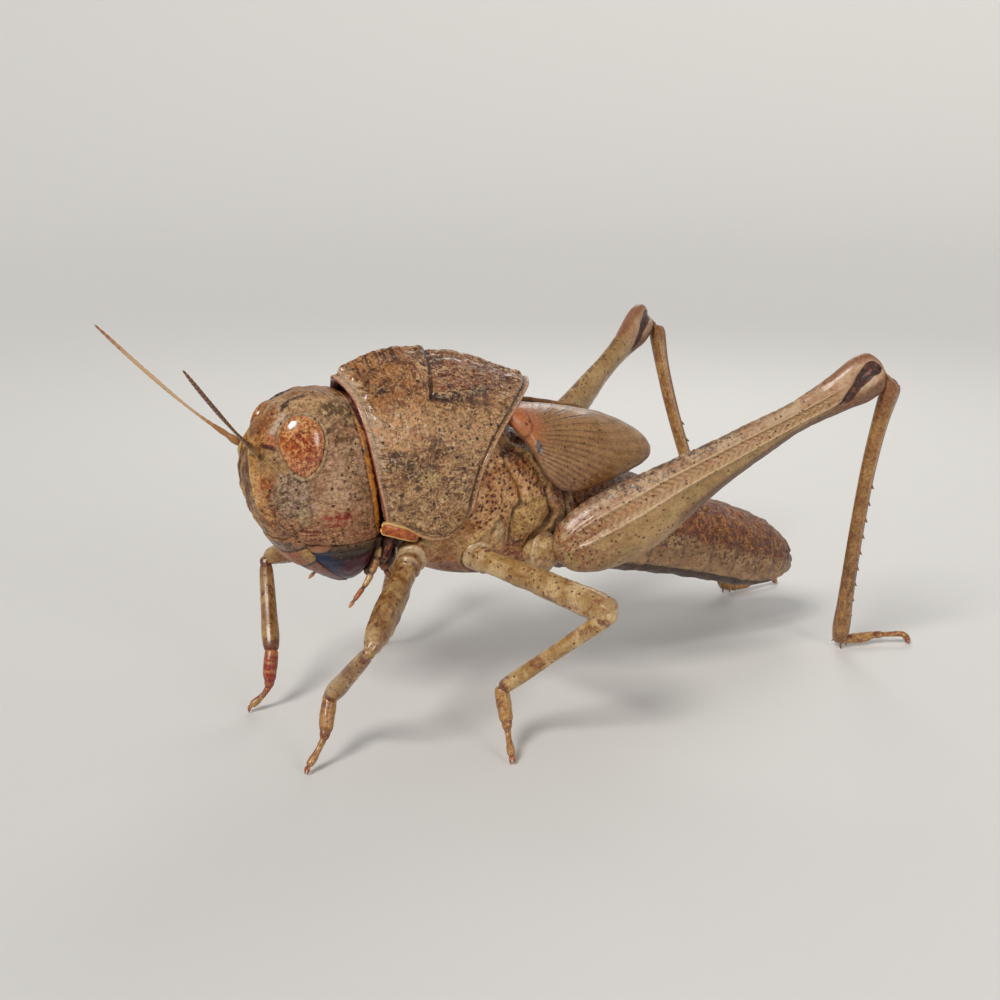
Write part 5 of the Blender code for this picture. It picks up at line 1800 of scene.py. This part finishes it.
def make_foot(pair, side, hand, ankle, ball, tip, finish):
    ankle, ball, tip = (numpy.array(stop, float) for stop in (ankle, ball, tip))
    ankle = ankle + (ankle - ball) * (0.08 if pair == "hind" else 0.1)
    lift = numpy.array((0, 0, 0.28))
    if pair == "hind":
        toe_top = tip + lift * 1.6 + (ball - tip) * 0.2
        stops = (ankle + lift * 0.6, ankle * 0.4 + ball * 0.6, ball, ball * 0.4 + tip * 0.6 + lift * 1.2,
                 toe_top, tip)
        profile = (
            (0, 0.27, 0.26, 0.26),
            (0.2, 0.29, 0.27, 0.3),
            (0.42, 0.27, 0.25, 0.3),
            (0.5, 0.2, 0.2, 0.2),
            (0.56, 0.24, 0.22, 0.25),
            (0.62, 0.17, 0.17, 0.17),
            (0.8, 0.17, 0.17, 0.17),
            (0.95, 0.21, 0.2, 0.2),
            (1, 0.15, 0.15, 0.15),
        )
    else:
        stops = (ankle, ankle * 0.5 + ball * 0.5, ball, ball * 0.4 + tip * 0.6,
                 tip + lift * 0.4 + (ball - tip) * 0.12)
        profile = (
            (0, 0.36, 0.36, 0.36),
            (0.15, 0.37, 0.37, 0.37),
            (0.38, 0.36, 0.35, 0.36),
            (0.52, 0.29, 0.28, 0.3),
            (0.62, 0.18, 0.18, 0.18),
            (0.78, 0.15, 0.15, 0.15),
            (0.93, 0.23, 0.21, 0.21),
            (1, 0.2, 0.18, 0.18),
        )
    reference = UP if pair == "hind" else FORWARD
    toe = limb("toe", stops, profile, reference, hand, sides=12, rings=16, levels=2, ends=(0.2, 0.2))
    run = noted(toe, "run")
    length = run.max()
    joint = numpy.maximum(ridge(run - 0.5 * length, 0.1), ridge(run - 0.61 * length, 0.09))
    at = points(toe)
    push(toe, -0.03 * joint + 0.025 * lumps(at, 0.3, 25))
    note(toe, "joint", joint)
    foot = joined(f"{pair}_foot_{side}", [toe] + claws(tip, tip - ball))
    lay_on_floor(foot)
    settle(foot, finish, "foot", f"{pair}_tarsus_{side}")


def make_small_leg(pair, side, hand, joints, finishes):
    root, hip, knee, _, ankle, ball, tip = (numpy.array(stop, float) for stop in joints)
    out = unit(knee - hip)
    # Coxa and the short piece beyond it, with a pale collar between them.
    size = 0.84 if pair == "fore" else 0.9
    coxa_profile = [(share, size * radius, size * radius, size * radius) for share, radius in COXA]
    coxa = limb("coxa", (root - (hip - root) * 0.2, root * 0.5 + hip * 0.5, hip), coxa_profile, UP, hand,
                sides=16, rings=5, levels=3, ends=(0.4, 0.3))
    ring_profile = ((0, 0.58, 0.62, 0.62), (0.5, 0.62, 0.66, 0.66), (1, 0.5, 0.54, 0.54))
    ring = limb("ring", (hip - out * 0.25, hip + out * 0.35, hip + out * 0.95), ring_profile, UP, hand,
                sides=16, rings=5, levels=3, ends=(0.3, 0.3))
    for part, (place, width, raised, pale), (low, low_width, depth) in (
        (coxa, (0.86, 0.22, 0.04, 1), (0.66, 0.12, 0.05)),
        (ring, (0.55, 0.1, 0.03, 0.6), (0.72, 0.08, 0.03)),
    ):
        run = noted(part, "run")
        rim = ridge(run - run.max() * place, width)
        push(part, raised * rim - depth * ridge(run - run.max() * low, low_width))
        note(part, "collar", rim * pale)
        at = points(part)
        push(part, 0.05 * lumps(at, 0.5, 15) + 0.025 * lumps(at, 0.22, 26))
        note(part, "joint", 0.4 * ease(lumps(at, 0.6, 16), 0, 0.4))
    whole = joined(f"{pair}_coxa_{side}_cuticle", [coxa, ring])
    settle(whole, finishes["leg"], "leg", f"{pair}_coxa_{side}")
    stops = (hip + out * 0.3, hip * 0.5 + knee * 0.5 + UP * 0.06, knee + out * 0.1)
    thigh = limb(f"{pair}_thigh_{side}", stops, SMALL_THIGHS[pair], UP, hand,
                 sides=16, rings=10, levels=3, ends=(0.25, 0.5))
    at = points(thigh)
    rise, run = noted(thigh, "rise"), noted(thigh, "run")
    length = run.max()
    amount = 0.04 * ridge(rise - 0.6, 0.12) + 0.04 * ridge(rise + 0.55, 0.12) + 0.04 * lumps(at, 0.6, 17)
    # The knee ends in a low rounded lobe with a groove before it.
    amount -= 0.03 * ridge(run - length + 0.75, 0.14)
    push(thigh, amount + 0.02 * lumps(at, 0.2, 27))
    end = ridge(run - length + 0.72, 0.14) * ease(rise, 0.3, -0.5)
    note(thigh, "joint", ridge(run, 0.3) * 0.7 + 0.5 * end)
    note(thigh, "collar", 0.4 * ridge(run - length + 0.3, 0.3))
    settle(thigh, finishes["leg"], "leg", f"{pair}_femur_{side}")
    down = unit(ankle - knee)
    stops = (knee - down * 0.12, knee * 0.5 + ankle * 0.5, ankle)
    shin = limb(f"{pair}_shin_{side}", stops, SMALL_SHINS[pair], FORWARD, hand,
                sides=12, rings=10, levels=2, ends=(0.3, 0.2))
    run, rise = noted(shin, "run"), noted(shin, "rise")
    length = run.max()
    note(shin, "joint", 0.6 * ridge(run - 0.55, 0.3) + 0.8 * ridge(run - length, 0.6))
    push(shin, 0.03 * ridge(rise - 0.2, 0.12) - 0.05 * ridge(run - 0.5, 0.14))
    spine = make_spine(0.16, 0.05)
    note(spine, "joint", noted(spine, "tip"))
    inner = unit(numpy.cross(down, FORWARD))
    parts = [shin]
    for row in (-1, 1):
        for number in range(4):
            rear = -FORWARD * 0.8 + inner * row * 0.6
            place = knee + (ankle - knee) * (0.5 + 0.13 * number) + rear * 0.34
            parts.append(placed(spine, place, rear + down * 0.9, down))
    bpy.data.objects.remove(spine)
    shin = joined(f"{pair}_shin_{side}", parts)
    lay_on_floor(shin)
    settle(shin, finishes["leg"], "shin", f"{pair}_tibia_{side}")
    make_foot(pair, side, hand, ankle, ball, tip, finishes["foot"])


def make_hind_thigh(side, hand, hip, knee, finish):
    stops = []
    for share in (0, 0.06, 0.12, 0.2, 0.28, 0.36, 0.46, 0.6, 0.75, 0.9, 1):
        sag = value_at(THIGH_SAG, share)
        stops.append(hip + (knee - hip) * (share * 1.008 - 0.004) - UP * sag)
    piece = limb(f"hind_thigh_{side}", stops, THIGH_PROFILE, UP, hand, sides=24, rings=20, levels=3,
                 ends=(0.9, 0.75))
    run, rise, out = noted(piece, "run"), noted(piece, "rise"), noted(piece, "out")
    length = run.max()
    share = run / length
    upper, lower = along(THIGH_RIDGES, share)
    outer = ease(out, 0, 0.35)
    middle = ease(share, 0.03, 0.1) * ease(share, 0.9, 0.82)
    raised = numpy.maximum(ridge(rise - upper, 0.06), ridge(rise - lower, 0.055)) * outer * middle
    band = (rise - lower) / (upper - lower)
    between = ease(band, 0.05, 0.2) * ease(band, 0.95, 0.8) * outer * middle
    slant = numpy.abs(band - 0.5) * 0.9
    chevron = 0.5 + 0.5 * numpy.sin((run + slant) * 2 * math.pi / 0.4)
    teeth = numpy.maximum(numpy.sin(run * 2 * math.pi / 0.55), 0)
    amount = -0.12 * numpy.abs(rise * out) * middle
    amount += 0.12 * raised - 0.06 * between + 0.03 * between * chevron
    amount += 0.04 * ridge(rise - 1, 0.02) * (0.6 + 0.4 * teeth) * middle
    amount += 0.05 * ridge(rise + 1, 0.02) * middle
    # The knee: a dark crescent cut between the cap and the lower lobe.
    line = ((0.868, -0.46), (0.9, -0.04), (0.935, 0.3), (0.97, 0.4), (1, 0.3))
    cut = way_to_line(share * 3, rise * 0.4, [(a * 3, b * 0.4) for a, b in line])
    cut = ridge(cut, 0.07 + 0.09 * ease(share, 0.9, 0.97)) * ease(numpy.abs(out), 0.3, 0.6)
    amount -= 0.22 * cut
    amount += 0.07 * ease(share, 0.88, 0.93) * ease(rise, -0.1, -0.5)
    amount += 0.08 * ease(share, 0.88, 0.95) * ease(rise, 0.35, 0.7)
    at = points(piece)
    amount += (0.03 * lumps(at, 0.7, 18) + 0.015 * lumps(at, 0.25, 28)) * middle
    push(piece, amount)
    note(piece, "pale", raised)
    note(piece, "chevron", 1 - chevron)
    note(piece, "band", numpy.where(out > 0, band, -0.2))
    note(piece, "crescent", ease(cut, 0.25, 0.75))
    settle(piece, finish, "leg", f"hind_femur_{side}")


def make_hind_shin(side, hand, top, ankle, knee, finish):
    stops = [knee * 0.75 + top * 0.25 - UP * 0.45]
    for share in (0, 0.05, 0.12, 0.3, 0.5, 0.7, 0.9, 1):
        stops.append(top + (ankle - top) * share + FORWARD * value_at(SHIN_BOW, share))
    stops[1] = stops[1] + FORWARD * 0.05
    profile = (
        (0.00, 0.34, 0.42, 0.42),
        (0.05, 0.46, 0.54, 0.52),
        (0.10, 0.48, 0.52, 0.48),
        (0.16, 0.42, 0.44, 0.42),
        (0.30, 0.37, 0.40, 0.40),
        (0.60, 0.36, 0.38, 0.40),
        (0.85, 0.39, 0.43, 0.45),
        (0.97, 0.45, 0.48, 0.50),
        (1.00, 0.38, 0.42, 0.42),
    )
    shin = limb("shin", stops, profile, -FORWARD, hand, sides=16, rings=22, levels=2, ends=(0.3, 0.3))
    rise, out, run = noted(shin, "rise"), noted(shin, "out"), noted(shin, "run")
    amount = 0.05 * ridge(numpy.abs(out) - 0.6, 0.1) * ease(rise, 0, 0.4) - 0.05 * ridge(rise - 1, 0.1)
    amount += 0.05 * ridge(rise - 0.15, 0.1) * ease(run, 1.5, 3)
    push(shin, amount)
    spine = make_spine(0.3, 0.12)
    parts = [shin]
    down = unit(ankle - top)
    across = unit(numpy.cross(down, -FORWARD))
    for row in (-1, 1):
        for number in range(10):
            share = 0.36 + 0.062 * number + (0.02 if row > 0 else 0)
            rear = -FORWARD * 0.85 + across * row * 0.5
            centre = top + (ankle - top) * share + FORWARD * value_at(SHIN_BOW, share)
            parts.append(placed(spine, centre + rear * 0.37, rear + down * 0.9, down))
    # Four spurs round the ankle.
    spur = make_spine(0.4, 0.1)
    for a, b in ((0.8, 0.6), (0.8, -0.6), (-0.3, 0.8), (-0.3, -0.8)):
        rear = -FORWARD * a + across * b
        parts.append(placed(spur, ankle + rear * 0.3 + UP * 0.12, down + rear * 0.4, rear))
    bpy.data.objects.remove(spine)
    bpy.data.objects.remove(spur)
    shin = joined(f"hind_shin_{side}", parts)
    lay_on_floor(shin)
    settle(shin, finish, "shin", f"hind_tibia_{side}")


def make_hind_leg(side, hand, joints, finishes):
    root, hip, knee, top, ankle, ball, tip = (numpy.array(stop, float) for stop in joints)
    profile = ((0, 0.9, 1, 1), (0.45, 1, 1.05, 1.05), (0.8, 0.85, 0.95, 0.95), (1, 0.65, 0.7, 0.7))
    stops = (root - (hip - root) * 0.3, root * 0.5 + hip * 0.5, hip)
    coxa = limb(f"hind_coxa_{side}_cuticle", stops, profile, UP, hand,
                sides=16, rings=6, levels=3, ends=(0.5, 0.4))
    at = points(coxa)
    run = noted(coxa, "run")
    rim = ridge(run - run.max() * 0.6, 0.14)
    push(coxa, 0.08 * rim - 0.1 * ridge(run - run.max() * 0.78, 0.12) + 0.06 * lumps(at, 0.5, 19))
    note(coxa, "joint", 0.4 * ease(lumps(at, 0.6, 20), -0.1, 0.3))
    note(coxa, "collar", rim * 0.8)
    settle(coxa, finishes["leg"], "leg", f"hind_coxa_{side}")
    make_hind_thigh(side, hand, hip, knee, finishes["thigh"])
    make_hind_shin(side, hand, top, ankle, knee, finishes["shin"])
    make_foot("hind", side, hand, ankle, ball, tip, finishes["foot"])


def make_legs():
    finishes = {"leg": leg_finish(), "thigh": thigh_finish(), "shin": shin_finish(), "foot": foot_finish()}
    for (pair, side), joints in LEGS.items():
        hand = 1 if side == "left" else -1
        if pair == "hind":
            make_hind_leg(side, hand, joints, finishes)
        else:
            make_small_leg(pair, side, hand, joints, finishes)


# Stage, light and camera


def floor_finish():
    material = bpy.data.materials.new("floor")
    material.use_nodes = True
    shader = material.node_tree.nodes["Principled BSDF"]
    shader.inputs["Base Color"].default_value = shade(*FLOOR_COLOUR)
    shader.inputs["Roughness"].default_value = 0.75
    return material


def make_stage():
    """A pale floor that sweeps up to a wall all round, far off."""
    take_none()
    bpy.ops.mesh.primitive_circle_add(vertices=96, radius=FLOOR_RADIUS, fill_type="NGON",
                                      location=(0, 0, 0))
    floor = newest("floor")
    start_editing("FACE")
    bpy.ops.mesh.select_mode(type="EDGE")
    reach = FLOOR_RADIUS
    for number in range(1, SWEEP_STEPS + 1):
        angle = math.pi / 2 * number / SWEEP_STEPS
        rise = SWEEP_RADIUS * (math.cos(angle - math.pi / 2 / SWEEP_STEPS) - math.cos(angle))
        wider = FLOOR_RADIUS + SWEEP_RADIUS * math.sin(angle)
        bpy.ops.mesh.extrude_edges_move(TRANSFORM_OT_translate={"value": (0, 0, rise)})
        bpy.ops.transform.resize(value=(wider / reach, wider / reach, 1), center_override=(0, 0, 0))
        reach = wider
    stop_editing()
    take(floor)
    bpy.ops.object.shade_smooth()
    floor.data.materials.append(floor_finish())
    world = bpy.data.worlds.new("studio")
    bpy.context.scene.world = world
    world.use_nodes = True
    world.node_tree.nodes["Background"].inputs["Color"].default_value = AIR_COLOUR
    world.node_tree.nodes["Background"].inputs["Strength"].default_value = AIR_STRENGTH


def to_frame(point):
    return Vector((numpy.array(point, float) + SHIFT) * MM)


def placed_object(name, data, direction, place=None):
    """A light or a camera that looks along a direction."""
    item = bpy.data.objects.new(name, data)
    bpy.context.scene.collection.objects.link(item)
    if place is not None:
        item.location = to_frame(place)
    item.rotation_euler = Vector(direction).to_track_quat("-Z", "Y").to_euler()
    return item


def make_lights():
    sun = bpy.data.lights.new("key", "SUN")
    sun.energy = KEY_STRENGTH
    sun.angle = math.radians(KEY_ANGLE)
    sun.color = KEY_COLOUR
    placed_object("key", sun, KEY_DIRECTION)
    for name, place, power in SOFT_LIGHTS:
        lamp = bpy.data.lights.new(name, "AREA")
        lamp.shape = "DISK"
        lamp.size = SOFT_SIZE * MM
        lamp.energy = power
        lamp.color = SOFT_COLOUR
        placed_object(name, lamp, to_frame(SOFT_AIM) - to_frame(place), place)


def make_camera():
    lens = bpy.data.cameras.new("camera")
    lens.lens = 50
    lens.sensor_width = 36
    lens.clip_start = 0.001
    bpy.context.scene.camera = placed_object("camera", lens, VIEW_DIRECTION, VIEW_PLACE)


bpy.context.scene.view_settings.view_transform = "Standard"
make_head()
make_mouth()
make_eyes()
make_antennae()
make_palps()
make_shield()
make_neck_plates()
make_thorax()
make_abdomen()
make_pads()
make_legs()
make_stage()
make_lights()
make_camera()
